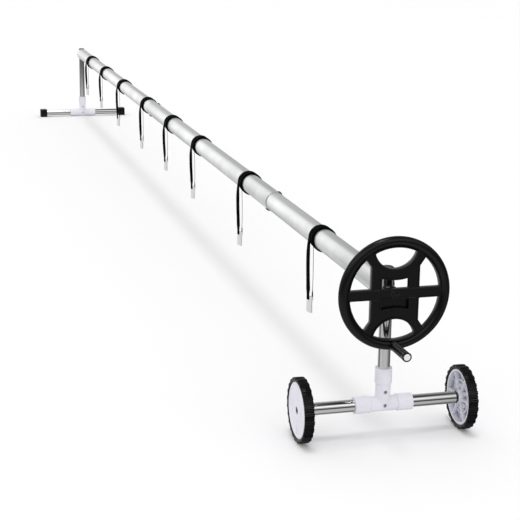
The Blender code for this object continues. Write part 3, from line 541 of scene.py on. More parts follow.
def screw(name):
    """Domed head with a driver recess."""
    low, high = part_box(name)
    radius, recess = 0.0052, 0.0022
    outline = [
        (0.0, 0.0), (radius, 0.0), (radius, 0.0009), (0.0040, 0.0024), (recess, 0.0029), (recess, 0.0016),
        (0.0, 0.0016)]
    head = lathe(name + "_head", "X", (low[0], 0, (low[2] + high[2]) / 2), outline, 0.0003, 40)
    link(head, "stands", [name], ZINC)


def post(name, x, base, top):
    obj = pipe(name + "_tube", "Z", (x, 0, 0), base + POST_START, top, TUBE_R, TUBE_BORE)
    hole = rod(name + "_hole", "X", (x, 0, REEL_Z), -0.03, 0.03, SHAFT_HOLE)
    combine(obj, [hole], "DIFFERENCE")
    link(obj, "stands", [name], STEEL["Z"])


def post_cap(name, x, top):
    """Plug in the tube with a low dome over its end."""
    plug, brim = 0.0172, 0.0200
    outline = [
        (0.0, -0.016), (plug, -0.016), (plug, 0.0003), (brim, 0.0003), (brim, 0.0030), (0.0160, 0.0058),
        (0.0, 0.0066)]
    link(lathe(name + "_dome", "Z", (x, 0, top), outline, 0.0012, 72), "stands", [name], BLACK)


def bushing(name, x, side, tab=0.0):
    """Flange saddled to the post; a tab may run up the post from it."""
    radius, tab_half = 0.0175, 0.0074
    outline = arc(0, 0, radius, 0, 360, 72)[:-1]
    if tab:
        outline = arc(0, 0, radius, 116, 424, 60) + [(tab_half, tab), (-tab_half, tab)]
    flange = plate(name + "_flange", [outline], 0.0077, 0.0012, (x + side * 0.0159, 0, REEL_Z))
    saddle = rod(name + "_saddle", "Z", (x, 0, REEL_Z), -0.08, 0.08, SADDLE_R, steps=96)
    bore = rod(name + "_bore", "X", (x, 0, REEL_Z), -0.05, 0.05, BEARING_BORE)
    combine(flange, [saddle, bore], "DIFFERENCE")
    lip = sorted((side * 0.0226, side * 0.0226 + side * 0.0010))
    collar = pipe(name + "_collar", "X", (x, 0, REEL_Z), *lip, 0.0128, BEARING_BORE, 0.0003, 64)
    link(shade(merge(name + "_bearing", [flange, collar])), "stands", [name], NYLON)


def end_cap(suffix, side):
    """Rounded block on the end of the base tube, bored for it."""
    node = "base_end_cap_" + suffix
    low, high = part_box(node)
    obj = block("foot_" + suffix, low, high, 0.0050, 5)
    inner = low[1] if side > 0 else high[1]
    bore = rod("foot_bore", "Y", (FAR, inner, BASE_Z), -side * 0.02, side * 0.044, 0.0193, steps=64)
    combine(obj, [bore], "DIFFERENCE")
    link(obj, "stands", [node], BLACK)


def axle_end(suffix, side):
    """Plug in the axle tube with the journal for the wheel, and the button that keeps the wheel on."""
    s = side
    end, tip = s * 0.2360, s * 0.2675
    plug, journal, button = 0.0170, 0.0080, 0.0116
    outline = [
        (0.0, end - s * 0.030), (plug, end - s * 0.030), (plug, end + s * 0.0003), (TUBE_R, end + s * 0.0003),
        (TUBE_R, end + s * 0.0038), (0.0130, end + s * 0.0060), (journal, end + s * 0.0060), (journal, tip),
        (0.0, tip)]
    obj = lathe("axle_plug_" + suffix, "Y", (NEAR, 0, AXLE_Z), outline, 0.0006, 64)
    link(obj, "stands", ["axle_stub_" + suffix], NYLON)
    outline = [
        (0.0, tip + s * 0.0003), (button, tip + s * 0.0003), (button, tip + s * 0.0014),
        (0.0100, tip + s * 0.0024), (0.0078, tip + s * 0.0040), (0.0040, tip + s * 0.0044),
        (0.0036, tip + s * 0.0030), (0.0, tip + s * 0.0030)]
    obj = lathe("axle_button_" + suffix, "Y", (NEAR, 0, AXLE_Z), outline, 0.0005, 48)
    link(obj, "stands", ["axle_cap_" + suffix], BLACK)


# ---------------------------------------------------------------- wheels

LUGS, CROWN_R, LUG_RISE, TYRE_HALF = 24, 0.0952, 0.0048, 0.0155
# share of one lug's turn, then share of the full rise: two raised bars and a low one
TREAD = [
    (0.00, 0.0), (0.06, 0.0), (0.09, 1.0), (0.24, 1.0), (0.26, 0.25), (0.30, 0.25), (0.32, 1.0), (0.47, 1.0),
    (0.50, 0.0), (0.68, 0.0), (0.71, 0.45), (0.83, 0.45), (0.86, 0.0)]


def tyre_section(crown):
    """Across the tyre, as (radius, y), from its inner edge on one side round to the other."""
    half = TYRE_HALF
    section = [
        (0.0863, -half + 0.0025), (0.0880, -half + 0.0008), (0.0905, -half), (crown - 0.0040, -half + 0.0001),
        (crown - 0.0012, -half + 0.0009), (crown - 0.0002, -half + 0.0030), (crown, 0.0)]
    return section + [(r, -y) for r, y in reversed(section[:-1])]


def tyre(suffix):
    """Ring with pairs of raised bars across the tread and a low bar between the pairs."""
    bm = bmesh.new()
    rings = []
    for k in range(LUGS):
        for phase, rise in TREAD:
            a = 2 * math.pi * (k + phase) / LUGS
            section = tyre_section(CROWN_R + LUG_RISE * rise)
            rings.append([bm.verts.new((r * math.sin(a), y, r * math.cos(a))) for r, y in section])
    for i in range(len(rings)):
        bridge(bm, rings[i], rings[(i + 1) % len(rings)])
    obj = make_object("tyre_tread_" + suffix, bm, 25.0)
    obj.location = (NEAR, middle("tyre_" + suffix).y, AXLE_Z)
    link(obj, "wheel_" + suffix, ["tyre_" + suffix], RUBBER)
    obj.visible_glossy = False


def radial(name, s, half, deep, face, start, end, angle, soft):
    """A bar along a radius of the wheel, between two depths."""
    y0, y1 = sorted((s * deep, s * face))
    bar = block(name, (-half, y0, start), (half, y1, end), soft, 2)
    bar.matrix_basis = Matrix.Rotation(angle, 4, "Y")
    return bar


def wheel_disc(suffix, side):
    """Dished disc with a collar, ribs and pins on its inner side and four spokes on its outer side."""
    s = side
    bore, rim, seat, recess = 0.0084, 0.0797, 0.0857, 0.0122
    inner, outer, edge = 0.0056, 0.0105, 0.0125
    # radius, then depth along the axle, growing outwards
    outline = [
        (bore, -0.0155), (0.0200, -0.0155), (0.0208, 0.0040), (0.0240, inner), (0.0770, inner), (rim, 0.0030),
        (rim, -edge), (seat, -edge), (seat, 0.0120), (0.0835, 0.0133), (0.0790, 0.0133), (0.0745, outer),
        (0.0330, outer), (0.0280, 0.0132), (0.0135, 0.0132), (recess, 0.0118), (recess, 0.0030),
        (bore, 0.0030)]
    parts = [lathe("disc_" + suffix, "Y", (0, 0, 0), [(r, s * y) for r, y in outline], 0.0009, 128)]
    collar = [(0.0500, 0.0070), (0.0500, -0.0040), (0.0530, -0.0040), (0.0530, 0.0070)]
    parts.append(lathe("collar_" + suffix, "Y", (0, 0, 0), [(r, s * y) for r, y in collar], 0.0006, 96))
    for k in range(6):
        a = 2 * math.pi * (k + 0.5) / 6
        parts.append(radial("rib", s, 0.0016, -0.0105, 0.0065, 0.0185, 0.0805, a, 0.0006))
        parts.append(radial("low_rib", s, 0.0014, -0.0010, 0.0066, 0.0515, 0.0806, a + math.pi / 6, 0.0005))
    for k in range(4):
        a = math.pi * k / 2 + 0.05
        parts.append(radial("spoke", s, 0.0040, 0.0090, 0.0116, 0.0270, 0.0785, a, 0.0009))
    pin_reach = 0.0370
    for k in range(6):
        a = 2 * math.pi * (k + 1) / 6
        place = (pin_reach * math.sin(a), 0.0, pin_reach * math.cos(a))
        parts.append(pipe("pin", "Y", place, *sorted((-s * 0.0060, s * 0.0070)), 0.0058, 0.0040, 0.0005, 32))
    obj = shade(merge("wheel_face_" + suffix, parts))
    obj.location = (NEAR, middle("tyre_" + suffix).y, AXLE_Z)
    link(obj, "wheel_" + suffix, ["wheel_disc_" + suffix], wheel_plastic_dish_shaded("wheel_plastic_dish_shaded_" + suffix, side))
    obj.visible_glossy = False


def cross_tube(name, node, x, z, reach):
    link(pipe(name, "Y", (x, 0, z), -reach, reach, TUBE_R, TUBE_BORE), "stands", [node], STEEL["Y"])


cross_tube("axle_pipe", "axle_tube", NEAR, AXLE_Z, 0.2360)
cross_tube("base_pipe", "base_tube", FAR, BASE_Z, 0.3129)
tee("near_tee", (NEAR, 0, AXLE_Z))
tee("far_tee", (FAR, 0, BASE_Z))
for which, x, base in (("near", NEAR, AXLE_Z), ("far", FAR, BASE_Z)):
    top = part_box(which + "_post")[1][2]
    post(which + "_post", x, base, top)
    post_cap(which + "_post_cap", x, top)
    for level in ("upper", "lower"):
        screw("%s_tee_screw_%s" % (which, level))
bushing("near_bushing_inner", NEAR, -1)
bushing("near_bushing_outer", NEAR, 1, tab=0.042)
bushing("far_bushing_inner", FAR, 1)
bushing("far_bushing_outer", FAR, -1)
for suffix, side in (("left", -1), ("right", 1)):
    tyre(suffix)
    wheel_disc(suffix, side)
    axle_end(suffix, side)
    end_cap(suffix, side)

# ---------------------------------------------------------------- reel

SHAFT_R = 0.0080
SEAM_ANGLES = (-37.0, 143.0)


def reel_tube(part, outer, inner):
    low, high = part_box("reel_tube_" + part)
    obj = pipe("roller_" + part, "X", (0, 0, REEL_Z), low[0], high[0], outer, inner, 0.0005, 128)
    link(obj, "reel", ["reel_tube_" + part], ALLOY)


def reel_end(part, side):
    """Plug with a raised border and hub, and the shaft through it."""
    low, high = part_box("reel_plug_" + part)
    face, back = (high[0], low[0]) if side > 0 else (low[0], high[0])
    bore, body, brim = 0.0083, 0.0354, 0.0370
    outline = [
        (bore, back), (body, back), (body, face - side * 0.0042), (brim, face - side * 0.0042),
        (brim, face - side * 0.0008), (0.0362, face), (0.0300, face), (0.0290, face - side * 0.0012),
        (0.0170, face - side * 0.0012), (0.0160, face), (bore, face)]
    plug = lathe("plug_" + part, "X", (0, 0, REEL_Z), outline, 0.0005, 96)
    link(plug, "reel", ["reel_plug_" + part], BLACK)
    low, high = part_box("shaft_" + part)
    shaft = rod("axle_rod_" + part, "X", (0, 0, REEL_Z), low[0], high[0], SHAFT_R, 0.0008)
    link(shaft, "reel", ["shaft_" + part], ZINC)


def reel_ring(name, node, outer, soft, mat):
    low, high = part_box(node)
    ring = pipe(name, "X", (0, 0, REEL_Z), low[0], high[0], outer, 0.0083, soft, 64)
    link(ring, "reel", [node], mat)


def seam_screw(seam, number, angle):
    """Black grommet on the middle tube with a bright bolt head in it."""
    node = "seam_screw_%s_%d" % (seam, number)
    place = (middle(node).x, 0, REEL_Z)
    base, brim, well = 0.0388, 0.0090, 0.0040
    ring = [
        (0.0, base), (brim, base), (brim, base + 0.0020), (0.0068, base + 0.0036), (well, base + 0.0036),
        (well, base + 0.0028), (0.0, base + 0.0028)]
    grommet = lathe("seam_grommet_%s_%d" % (seam, number), "Z", place, ring, 0.0004, 48)
    grommet.rotation_euler = (math.radians(angle), 0, 0)
    link(grommet, "reel", [node], NYLON)
    dome = [(0.0, base + 0.0026), (0.0037, base + 0.0026), (0.0034, base + 0.0042), (0.0, base + 0.0049)]
    head = lathe("seam_bolt_%s_%d" % (seam, number), "Z", place, dome, 0.0004, 32)
    head.rotation_euler = (math.radians(angle), 0, 0)
    link(head, "reel", (), ZINC)


reel_tube("near", 0.0373, 0.0357)
reel_tube("middle", 0.0390, 0.0376)
reel_tube("far", 0.0373, 0.0357)
reel_end("near", 1)
reel_end("far", -1)
reel_ring("thrust_ring", "near_thrust_washer", 0.0150, 0.0006, NYLON)
reel_ring("shaft_ring", "far_shaft_collar", 0.0140, 0.0008, ZINC)
for seam in ("near", "far"):
    for number, angle in enumerate(SEAM_ANGLES, 1):
        seam_screw(seam, number, angle)

# ---------------------------------------------------------------- handwheel

# rim: radius to its middle, and radius of its own section
RIM_R, RIM_S = 0.1580, 0.0150
WEB_R, WEB_HALF, POCKET_HALF = 0.1535, 0.0070, 0.0020
LIP_W, LIP_HALF, LENS_LIP_HALF = 0.0040, 0.0100, 0.0118
# openings: they end at REACH; the lenses and boxes are bounded by circles centred above and below the hub
REACH, LENS_Z, LENS_R = 0.1405, 0.1440, 0.0680
BOX_Z, BOX_R = 0.1955, 0.1535
# the crossbar's half height, the box's half width, and the side opening's inner edge and top
BAR_Z, BAR_IN, BAR_OUT, BAR_TOP = 0.0155, 0.0425, 0.0745, 0.0830
CRANK_Z = REEL_Z - RIM_R


def side_hole(my, mz):
    low = math.degrees(math.asin(BAR_Z / REACH))
    pts = [(BAR_OUT, BAR_TOP), (BAR_OUT, BAR_Z)] + arc(0, 0, REACH, low, 49.5, 24)
    return [(my * y, mz * z) for y, z in fillet(pts, 0.0035)]


def lens_hole(mz):
    meet = (REACH ** 2 - LENS_R ** 2 + LENS_Z ** 2) / (2 * LENS_Z)
    cut = math.degrees(math.asin((meet - LENS_Z) / LENS_R))
    edge = math.degrees(math.asin(meet / REACH))
    pts = arc(0, LENS_Z, LENS_R, 180 - cut, 360 + cut, 40) + arc(0, 0, REACH, edge, 180 - edge, 24)[1:-1]
    return [(y, mz * z) for y, z in fillet(pts, 0.0035)]


def box_hole(mz):
    spread = math.degrees(math.asin(BAR_IN / BOX_R))
    pts = [(-BAR_IN, BAR_Z), (BAR_IN, BAR_Z)] + arc(0, BOX_Z, BOX_R, 270 + spread, 270 - spread, 12)
    return [(y, mz * z) for y, z in fillet(pts, 0.003)]


def grown(outline, amount):
    """The outline pushed outwards by an amount."""
    area = sum(a[0] * b[1] - b[0] * a[1] for a, b in zip(outline, outline[1:] + outline[:1]))
    sign = 1.0 if area > 0 else -1.0
    out = []
    count = len(outline)
    for i in range(count):
        a, b, c = Vector(outline[i - 1]), Vector(outline[i]), Vector(outline[(i + 1) % count])
        d1, d2 = (b - a).normalized(), (c - b).normalized()
        n1, n2 = Vector((d1.y, -d1.x)) * sign, Vector((d2.y, -d2.x)) * sign
        n = n1 + n2
        if n.length < 1e-6:
            n = n1
        n = n.normalized() / max(0.5, n.normalized().dot(n1))
        out.append(tuple(b + n * amount))
    return out


def torus(name, reach, thick, place):
    """Round ring about the X axis."""
    steps, sides = 160, 28
    bm = bmesh.new()
    rings = []
    for k in range(steps):
        a = 2 * math.pi * k / steps
        ring = []
        for j in range(sides):
            b = 2 * math.pi * j / sides
            r = reach + thick * math.cos(b)
            ring.append(bm.verts.new((thick * math.sin(b), r * math.cos(a), r * math.sin(a))))
        rings.append(ring)
    for i in range(steps):
        bridge(bm, rings[i], rings[(i + 1) % steps])
    obj = make_object(name, bm, 60.0)
    obj.location = place
    return obj


def handwheel():
    """Round rim and flat web with lipped openings, a boss behind the hub and a socket for the crank."""
    hub = (WHEEL_X, 0, REEL_Z)
    at_crank = (WHEEL_X, 0, CRANK_Z)
    holes = [lens_hole(1), lens_hole(-1), box_hole(1), box_hole(-1)]
    holes += [side_hole(my, mz) for my in (1, -1) for mz in (1, -1)]
    disc = arc(0, 0, WEB_R, 0, 360, 160)[:-1]
    parts = [plate("web", [disc] + holes, WEB_HALF, 0.0010, hub, 2)]
    floor = grown(box_hole(-1), 0.002)
    parts.append(plate("pocket", [floor], POCKET_HALF, 0.0003, (WHEEL_X - 0.0048, 0, REEL_Z), 1))
    for k, hole in enumerate(holes):
        depth = LENS_LIP_HALF if k < 2 else LIP_HALF
        parts.append(plate("lip%d" % k, [grown(hole, LIP_W), grown(hole, 0.0001)], depth, 0.0013, hub, 2))
    boss = [
        (0.0, -0.0340), (0.0165, -0.0340), (0.0175, -0.0330), (0.0175, -0.0060), (0.0145, -0.0055),
        (0.0145, 0.0076), (0.0133, 0.0088), (0.0106, 0.0088), (0.0106, 0.0062), (0.0, 0.0062)]
    parts.append(lathe("boss", "X", hub, boss, 0.0, 72))
    parts.append(torus("rim", RIM_R, RIM_S, hub))
    socket = [(0.0, 0.0100), (0.0160, 0.0100), (0.0150, 0.0165), (0.0135, 0.0172), (0.0, 0.0172)]
    parts.append(lathe("socket", "X", at_crank, socket, 0.0006, 48))
    obj = fuse("handwheel_moulding", parts)
    bored = ((hub, 0.0084), (at_crank, 0.0090))
    bores = [rod("bore", "X", place, -0.05, 0.05, radius) for place, radius in bored]
    combine(obj, bores, "DIFFERENCE")
    link(obj, "reel", ["handwheel"], BLACK)
    cap = [(0.0, 0.0069), (0.0101, 0.0069), (0.0101, 0.0091), (0.0089, 0.0101), (0.0, 0.0104)]
    link(lathe("hub_button", "X", hub, cap, 0.0006, 64), "reel", ["handwheel_hub_cap"], BLACK)


# ---------------------------------------------------------------- crank

GRIP_R, GRIP_VALLEY, GRIP_RIBS = 0.0140, 0.0118, 9
GRIP_BORE, CAP_R = 0.0064, 0.0102
PIN_R, PIN_COLLAR, PIN_FOOT = 0.0060, 0.0085, 0.0095


def crank():
    """Pin on the handwheel's rim, a ribbed sleeve that turns on it, and a bright cap."""
    place = (0, 0, CRANK_Z)
    low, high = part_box("crank_grip")
    g0, g1 = low[0], high[0]
    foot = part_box("crank_spindle")[0][0]
    pin = [
        (0.0, foot), (PIN_FOOT, foot), (PIN_FOOT, foot + 0.0047), (PIN_R, foot + 0.0047),
        (PIN_R, g0 - 0.0028), (PIN_COLLAR, g0 - 0.0028), (PIN_COLLAR, g0 - 0.0004), (PIN_R, g0 - 0.0004),
        (PIN_R, g1 - 0.0040), (0.0, g1 - 0.0040)]
    link(lathe("crank_pin", "X", place, pin, 0.0005, 48), "reel", ["crank_spindle"], ZINC)
    grip = [(GRIP_BORE, g0), (0.0125, g0), (0.0138, g0 + 0.0020)]
    pitch = (g1 - g0 - 0.026) / GRIP_RIBS
    for k in range(GRIP_RIBS):
        s = g0 + 0.008 + pitch * k
        grip += [(GRIP_R, s), (GRIP_R, s + pitch * 0.56)]
        grip += [(GRIP_VALLEY, s + pitch * 0.70), (GRIP_VALLEY, s + pitch * 0.86)]
    grip += [
        (GRIP_R, g1 - 0.0170), (0.0141, g1 - 0.0100), (0.0146, g1 - 0.0020), (0.0138, g1), (0.0108, g1),
        (0.0108, g1 - 0.0045), (GRIP_BORE, g1 - 0.0045)]
    link(lathe("crank_sleeve", "X", place, grip, 0.0006, 64), "crank_grip", ["crank_grip"], BLACK)
    cap = [
        (0.0, g1 - 0.0037), (CAP_R, g1 - 0.0037), (CAP_R, g1 - 0.0004), (0.0086, g1 + 0.0010),
        (0.0079, g1 + 0.0004), (0.0071, g1 + 0.0011), (0.0, g1 + 0.0016)]
    link(lathe("crank_button", "X", place, cap, 0.0003, 64), "reel", ["crank_end_cap"], PAINTED_CHROME)


handwheel()
crank()

# ---------------------------------------------------------------- straps

CLIP_W, CLIP_T, CLIP_TALL, CLIP_SLIT = 0.0300, 0.0070, 0.0580, 0.0009
CLIP_TURN = math.radians(15.0)
# depth of a whole wrap, thickness and width of the webbing, width of the inner hanging end
WRAP, WEB_T, WEB = 0.0060, 0.0019, 0.0250
INNER_W, INNER_T = 0.0110, 0.0018
# a turn of webbing leans along the reel, most at the angle opposite TILT_FROM
TILT, TILT_FROM = 0.0050, math.radians(145.0)
# how far below the clip's top each hanging end goes on, in steps
FOOT_STEPS = (0.0, 0.004, 0.008, 0.012)
# camera's distance from the near stand, along the reel and to its side, which sets the twist of the ends
EYE_AHEAD, EYE_ASIDE = 3.68, 1.36


def band(name, path, width, thick, closed=False, twist=None, taper=None):
    """Flat webbing swept along points; its width lies along X, turned by twist. UV is across, along."""
    bm = bmesh.new()
    uv = bm.loops.layers.uv.new("UVMap")
    count = len(path)
    rows, lengths, run = [], [], 0.0
    for i, p in enumerate(path):
        if closed:
            a, b = path[i - 1], path[(i + 1) % count]
        else:
            a, b = path[max(0, i - 1)], path[min(count - 1, i + 1)]
        tangent = (b - a).normalized()
        across = Vector((1, 0, 0))
        across = (across - tangent * across.dot(tangent)).normalized()
        if twist:
            across = Matrix.Rotation(twist(i / (count - 1)), 3, tangent) @ across
        out = tangent.cross(across).normalized()
        w, t, e = width / 2, thick / 2, thick * 0.35
        if taper:
            w *= taper(i / (count - 1))
        section = [
            (-w, -t + e), (-w + e, -t), (0, -t), (w - e, -t), (w, -t + e),
            (w, t - e), (w - e, t), (0, t), (-w + e, t), (-w, t - e)]
        rows.append([bm.verts.new(p + across * u + out * v) for u, v in section])
        if i:
            run += (p - path[i - 1]).length
        lengths.append(run)
    us = [0.0, 0.03, 0.5, 0.97, 1.0, 1.0, 0.97, 0.5, 0.03, 0.0]
    sides = len(us)
    total = run + (path[0] - path[-1]).length
    for i in range(count if closed else count - 1):
        j = (i + 1) % count
        v0, v1 = lengths[i], lengths[j] if j else total
        for k in range(sides):
            n = (k + 1) % sides
            face = bm.faces.new((rows[i][k], rows[i][n], rows[j][n], rows[j][k]))
            for loop, val in zip(face.loops, ((us[k], v0), (us[n], v0), (us[n], v1), (us[k], v1))):
                loop[uv].uv = val
    if not closed:
        bm.faces.new(rows[0])
        bm.faces.new(rows[-1])
    return make_object(name, bm, 45.0)


def ring_path(x, radius, lean, start=0.0, end=360.0, steps=96):
    """Points round the reel, seen from the handwheel with +Y to the right; the turn is tilted a little."""
    pts = []
    for k in range(steps):
        a = math.radians(start + (end - start) * k / steps)
        shift = lean * math.sin(a) + TILT * (1 - math.cos(a - TILT_FROM))
        pts.append(Vector((x + shift, radius * math.cos(a), REEL_Z + radius * math.sin(a))))
    return pts


def ease(value, start, length):
    """0 up to start, then rising evenly to 1 over a length."""
    return min(1.0, max(0.0, (value - start) / length))


def wraps(node, x0, width, outer, rng):
    """Two layers under a row of turns side by side, wound round the reel."""
    parts = []
    for layer in (0, 1):
        radius = outer - WRAP + 0.0010 + 0.0020 * layer
        wide = width - 0.0006 - 0.0012 * (1 - layer)
        path = ring_path(x0, radius, 0.0)
        parts.append(band("%s_layer_%d" % (node, layer), path, wide, WEB_T, closed=True))
    crown = outer - 0.0010
    rest = width - 0.0262
    turns = max(1, round(rest / WEB))
    for turn in range(turns):
        x = x0 - width / 2 + 0.0258 + rest * (turn + 0.5) / turns
        lean = rng.uniform(-0.0009, 0.0009) * (1 if turns > 1 else 0.3)
        path = ring_path(x, crown, lean)
        parts.append(band("%s_turn_%d" % (node, turn), path, rest / turns - 0.0005, WEB_T, closed=True))
    return parts


def outer_end(node, x, crown, foot, facing, rng):
    """The last turn, which leaves the reel underneath, twists to face the viewer and ends on the clip."""
    pts = ring_path(x, crown + 0.0001, 0.0, -75.0, 180.0, 72)
    wound = len(pts)
    start = Vector((pts[-1].x, -crown - 0.0001, REEL_Z))
    end = foot + Vector((0, 0, 0.006))
    bow = rng.uniform(0.0030, 0.0042)
    for k in range(1, 33):
        t = k / 32
        swell = -bow * math.sin(math.pi * min(1.0, t * 1.15) ** 0.7) if t < 0.87 else 0
        pts.append(start.lerp(end, t) + Vector((0, swell, 0)))
    pts += [foot + Vector((0, 0, -d)) for d in FOOT_STEPS]
    hang = wound / (len(pts) - 1)

    def twist(t):
        run = (t - hang) / (1 - hang)
        if run <= 0:
            return 0.0
        settle = ease(run, 0.62, 0.20)
        opened = math.sin(math.pi / 2 * min(1.0, run * 4.0))
        return -(facing * opened * (1 - settle) + CLIP_TURN * settle)

    def taper(t):
        return 1.0 - 0.36 * ease(t, 0.93, 0.03)

    return band(node + "_outer", pts, WEB - 0.0004, WEB_T, twist=twist, taper=taper)


def inner_end(node, radius, foot, view):
    """The other end, which comes out from under the wraps, edge on to the viewer."""
    start = Vector((foot.x - 0.002, -radius * 0.76, REEL_Z - radius * 0.65))
    end = foot + Vector((0, 0, 0.007))
    pts = []
    for k in range(25):
        t = k / 24
        pts.append(start.lerp(end, t) + Vector((0, math.sin(math.pi * t) * 0.0012, 0)))
    pts += [foot + Vector((0, 0, -d)) for d in FOOT_STEPS]

    def twist(t):
        settle = ease(t, 0.78, 0.08)
        return view * (1 - settle) - CLIP_TURN * settle

    def taper(t):
        return 1.0 - 0.3 * ease(t, 0.80, 0.05)

    return band(node + "_inner", pts, INNER_W, INNER_T, twist=twist, taper=taper)


def strap(number):
    """A wound strap with its two hanging ends, and the clip that holds them."""
    node, clip_node = "strap_%d" % number, "strap_clip_%d" % number
    low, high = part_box(node)
    x0, width = (low[0] + high[0]) / 2, high[0] - low[0]
    outer = high[2] - REEL_Z
    clip = middle(clip_node)
    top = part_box(clip_node)[1][2]
    rng = random.Random(40 + number)
    view = math.atan2(EYE_ASIDE, EYE_AHEAD + NEAR - x0)
    facing = math.radians(36.0) - 0.45 * view - view
    spread = CLIP_T / 2 + 0.0014
    turn = Matrix.Rotation(CLIP_TURN, 3, "Z")
    outer_foot = Vector((clip.x, clip.y, top)) + turn @ Vector((-0.0030, -spread, 0))
    inner_foot = Vector((clip.x, clip.y, top)) + turn @ Vector((0.0100, spread, 0))
    parts = wraps(node, x0, width, outer, rng)
    parts.append(outer_end(node, x0 - width / 2 + 0.0130, outer - 0.0010, outer_foot, facing, rng))
    parts.append(inner_end(node, outer - WRAP * 0.45, inner_foot, view))
    link(shade(merge(node + "_webbing", parts), 45.0), node, [node], STRAP)
    moulded = bpy.data.objects.new("clip_%d" % number, CLIP_SHAPE)
    moulded.location = (clip.x, clip.y, top)
    moulded.rotation_euler = (0, 0, CLIP_TURN)
    link(moulded, node, [clip_node])


def clip_shape():
    """Two leaves joined along the top, with gripping ribs; the origin is the middle of the top edge."""
    w, t = CLIP_W / 2, CLIP_T / 2
    low, high = (-w + 0.0006, -t + 0.0004, -0.0120), (w - 0.0006, t - 0.0004, -0.0003)
    parts = [block("bridge", low, high, 0.0008, 3)]
    for side in (-1, 1):
        y0, y1 = sorted((side * CLIP_SLIT, side * t))
        parts.append(block("leaf", (-w, y0, -CLIP_TALL), (w, y1, 0.0), 0.0008, 3))
        for k in range(5):
            z = -CLIP_TALL + 0.0060 + 0.0050 * k
            a, b = sorted((side * (t - 0.0010), side * (t + 0.0003)))
            parts.append(block("rib", (-w + 0.0030, a, z), (w - 0.0030, b, z + 0.0018), 0.0002, 1))
    obj = fuse("clip_shape", parts)
    obj.data.materials.clear()
    obj.data.materials.append(CLIP)
    mesh = obj.data
    bpy.data.objects.remove(obj, do_unlink=True)
    return mesh


CLIP_SHAPE = clip_shape()
for number in range(1, 9):
    strap(number)

# ---------------------------------------------------------------- stage


def stage_plane(name, size, tone, rough):
    """Wide flat floor at the object's feet, with the faintest unevenness in its tone."""
    bm = bmesh.new()
    for x, y in ((-1, -1), (1, -1), (1, 1), (-1, 1)):
        bm.verts.new((x * size, y * size, 0))
    bm.faces.new(bm.verts)
    obj = make_object(name, bm)
    bpy.context.scene.collection.objects.link(obj)
    n = Nodes(name)
    soft = n.noise(n.coords((0.8,) * 3), 1.0, 2.0, 0.5)
    n.join(n.ramp(soft, [(0.0, tuple(c * 0.99 for c in tone)), (1.0, tone)]), n.bsdf.inputs["Base Color"])
    n.bsdf.inputs["Roughness"].default_value = rough
    n.bsdf.inputs["Specular IOR Level"].default_value = 0.1
    obj.data.materials.append(n.mat)
    return obj


def overhead_light():
    """Broad soft light from above, which makes the contact shadows."""
    sun = bpy.data.lights.new("overhead", "SUN")
    sun.energy = 0.55
    sun.angle = math.radians(14.0)
    overhead = bpy.data.objects.new("overhead", sun)
    overhead.rotation_euler = (math.radians(2.0), math.radians(3.0), 0.0)
    bpy.context.scene.collection.objects.link(overhead)


AROUND_GAIN, HEIGHT_GAIN = 1.4, 2.4
PLAIN_STRENGTH = 0.95
# share of a turn from -X through -Y, +X and +Y, then brightness
AROUND = [
    (0.0, 0.92), (0.03, 1.3), (0.07, 1.3), (0.10, 0.50), (0.13, 0.20), (0.18, 0.24), (0.24, 0.60),
    (0.29, 0.58), (0.34, 0.42), (0.50, 0.44), (0.58, 0.43), (0.66, 0.24), (0.73, 0.13), (0.80, 0.18),
    (0.86, 0.30), (0.92, 0.42), (0.96, 0.55)]
# height of the direction, then brightness, in front (+X) and behind
FRONT = [
    (-1.0, 1.0), (-0.63, 1.25), (-0.45, 1.15), (-0.27, 0.95), (-0.15, 0.30), (-0.05, 0.06), (0.05, 0.08),
    (0.18, 0.40), (0.35, 1.05), (0.55, 2.2), (0.68, 2.4), (0.80, 1.9), (0.87, 0.45), (0.93, 0.09),
    (1.0, 0.09)]
BACK = [
    (-1.0, 0.6), (-0.36, 0.6), (-0.18, 0.72), (0.0, 1.0), (0.22, 1.0), (0.40, 0.80), (0.70, 0.7),
    (0.87, 0.35), (0.93, 0.10), (1.0, 0.09)]


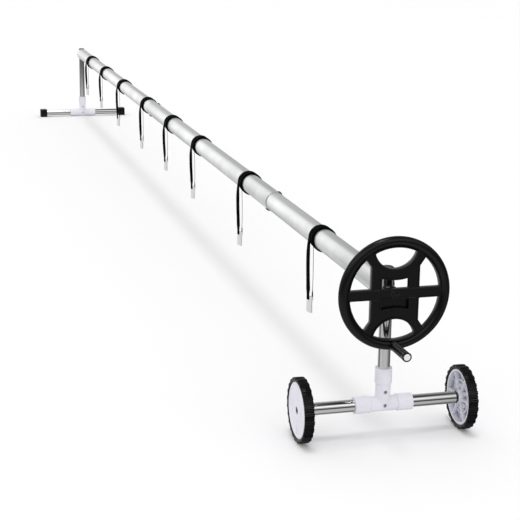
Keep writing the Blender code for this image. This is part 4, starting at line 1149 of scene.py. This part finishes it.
def studio():
    """White light all round; a mirror sees soft dark and bright panels instead."""
    world = bpy.data.worlds.new("studio")
    bpy.context.scene.world = world
    world.use_nodes = True
    tree = world.node_tree

    def node(kind, **values):
        made = tree.nodes.new(kind)
        for key, value in values.items():
            setattr(made, key, value)
        return made

    def scale(source, times, plus):
        made = node("ShaderNodeMath", operation="MULTIPLY_ADD")
        made.inputs[1].default_value, made.inputs[2].default_value = times, plus
        tree.links.new(source, made.inputs[0])
        return made.outputs[0]

    def ramp(source, stops, gain):
        made = node("ShaderNodeValToRGB")
        made.color_ramp.interpolation = "EASE"
        set_stops(made.color_ramp, [(pos, value / gain) for pos, value in stops])
        tree.links.new(source, made.inputs["Fac"])
        return made.outputs["Color"]

    plain = tree.nodes["Background"]
    plain.inputs["Color"].default_value = (1.0, 1.0, 1.0, 1.0)
    plain.inputs["Strength"].default_value = PLAIN_STRENGTH
    split = node("ShaderNodeSeparateXYZ")
    tree.links.new(node("ShaderNodeTexCoord").outputs["Generated"], split.inputs["Vector"])
    turn = node("ShaderNodeMath", operation="ARCTAN2")
    tree.links.new(split.outputs["Y"], turn.inputs[0])
    tree.links.new(split.outputs["X"], turn.inputs[1])
    around = ramp(scale(turn.outputs[0], 0.5 / math.pi, 0.5), AROUND, AROUND_GAIN)
    height = scale(split.outputs["Z"], 0.5, 0.5)
    front = ramp(height, [((z + 1) / 2, v) for z, v in FRONT], HEIGHT_GAIN)
    back = ramp(height, [((z + 1) / 2, v) for z, v in BACK], HEIGHT_GAIN)
    sides = node("ShaderNodeMix", data_type="RGBA")
    clamp = node("ShaderNodeClamp")
    tree.links.new(scale(split.outputs["X"], 2.0, 0.5), clamp.inputs[0])
    tree.links.new(clamp.outputs[0], sides.inputs["Factor"])
    tree.links.new(back, sides.inputs["A"])
    tree.links.new(front, sides.inputs["B"])
    both = node("ShaderNodeMix", data_type="RGBA", blend_type="MULTIPLY")
    both.inputs["Factor"].default_value = 1.0
    tree.links.new(around, both.inputs["A"])
    tree.links.new(sides.outputs["Result"], both.inputs["B"])
    panels = node("ShaderNodeBackground")
    panels.inputs["Strength"].default_value = AROUND_GAIN * HEIGHT_GAIN
    tree.links.new(both.outputs["Result"], panels.inputs["Color"])
    choose = node("ShaderNodeMixShader")
    tree.links.new(node("ShaderNodeLightPath").outputs["Is Glossy Ray"], choose.inputs["Fac"])
    tree.links.new(plain.outputs[0], choose.inputs[1])
    tree.links.new(panels.outputs[0], choose.inputs[2])
    tree.links.new(choose.outputs[0], tree.nodes["World Output"].inputs["Surface"])


stage_plane("floor", 90.0, (0.93, 0.93, 0.935), 0.7).visible_glossy = False
overhead_light()
studio()
bpy.context.scene.view_settings.view_transform = "Standard"

# ---------------------------------------------------------------- camera

YAW, PITCH, ROLL = 0.2661, 0.2546, 0.0134
LENS, SENSOR = 94.60662, 36.0
EYE = Vector((NEAR + 3.6821, -1.3957, 1.5653))


def place_camera():
    """Turned from -X towards +Y by YAW, down by PITCH, and rolled a little."""
    forward = Vector((-math.cos(YAW) * math.cos(PITCH), math.sin(YAW) * math.cos(PITCH), -math.sin(PITCH)))
    level = Vector((math.sin(YAW), math.cos(YAW), 0.0))
    upright = level.cross(forward)
    right = level * math.cos(ROLL) + upright * math.sin(ROLL)
    up = upright * math.cos(ROLL) - level * math.sin(ROLL)
    lens = bpy.data.cameras.new("camera")
    lens.sensor_width = SENSOR
    lens.lens = LENS
    lens.clip_start, lens.clip_end = 0.05, 300.0
    camera = bpy.data.objects.new("camera", lens)
    camera.matrix_world = Matrix.Translation(EYE) @ Matrix((right, up, -forward)).transposed().to_4x4()
    bpy.context.scene.collection.objects.link(camera)
    bpy.context.scene.camera = camera


place_camera()
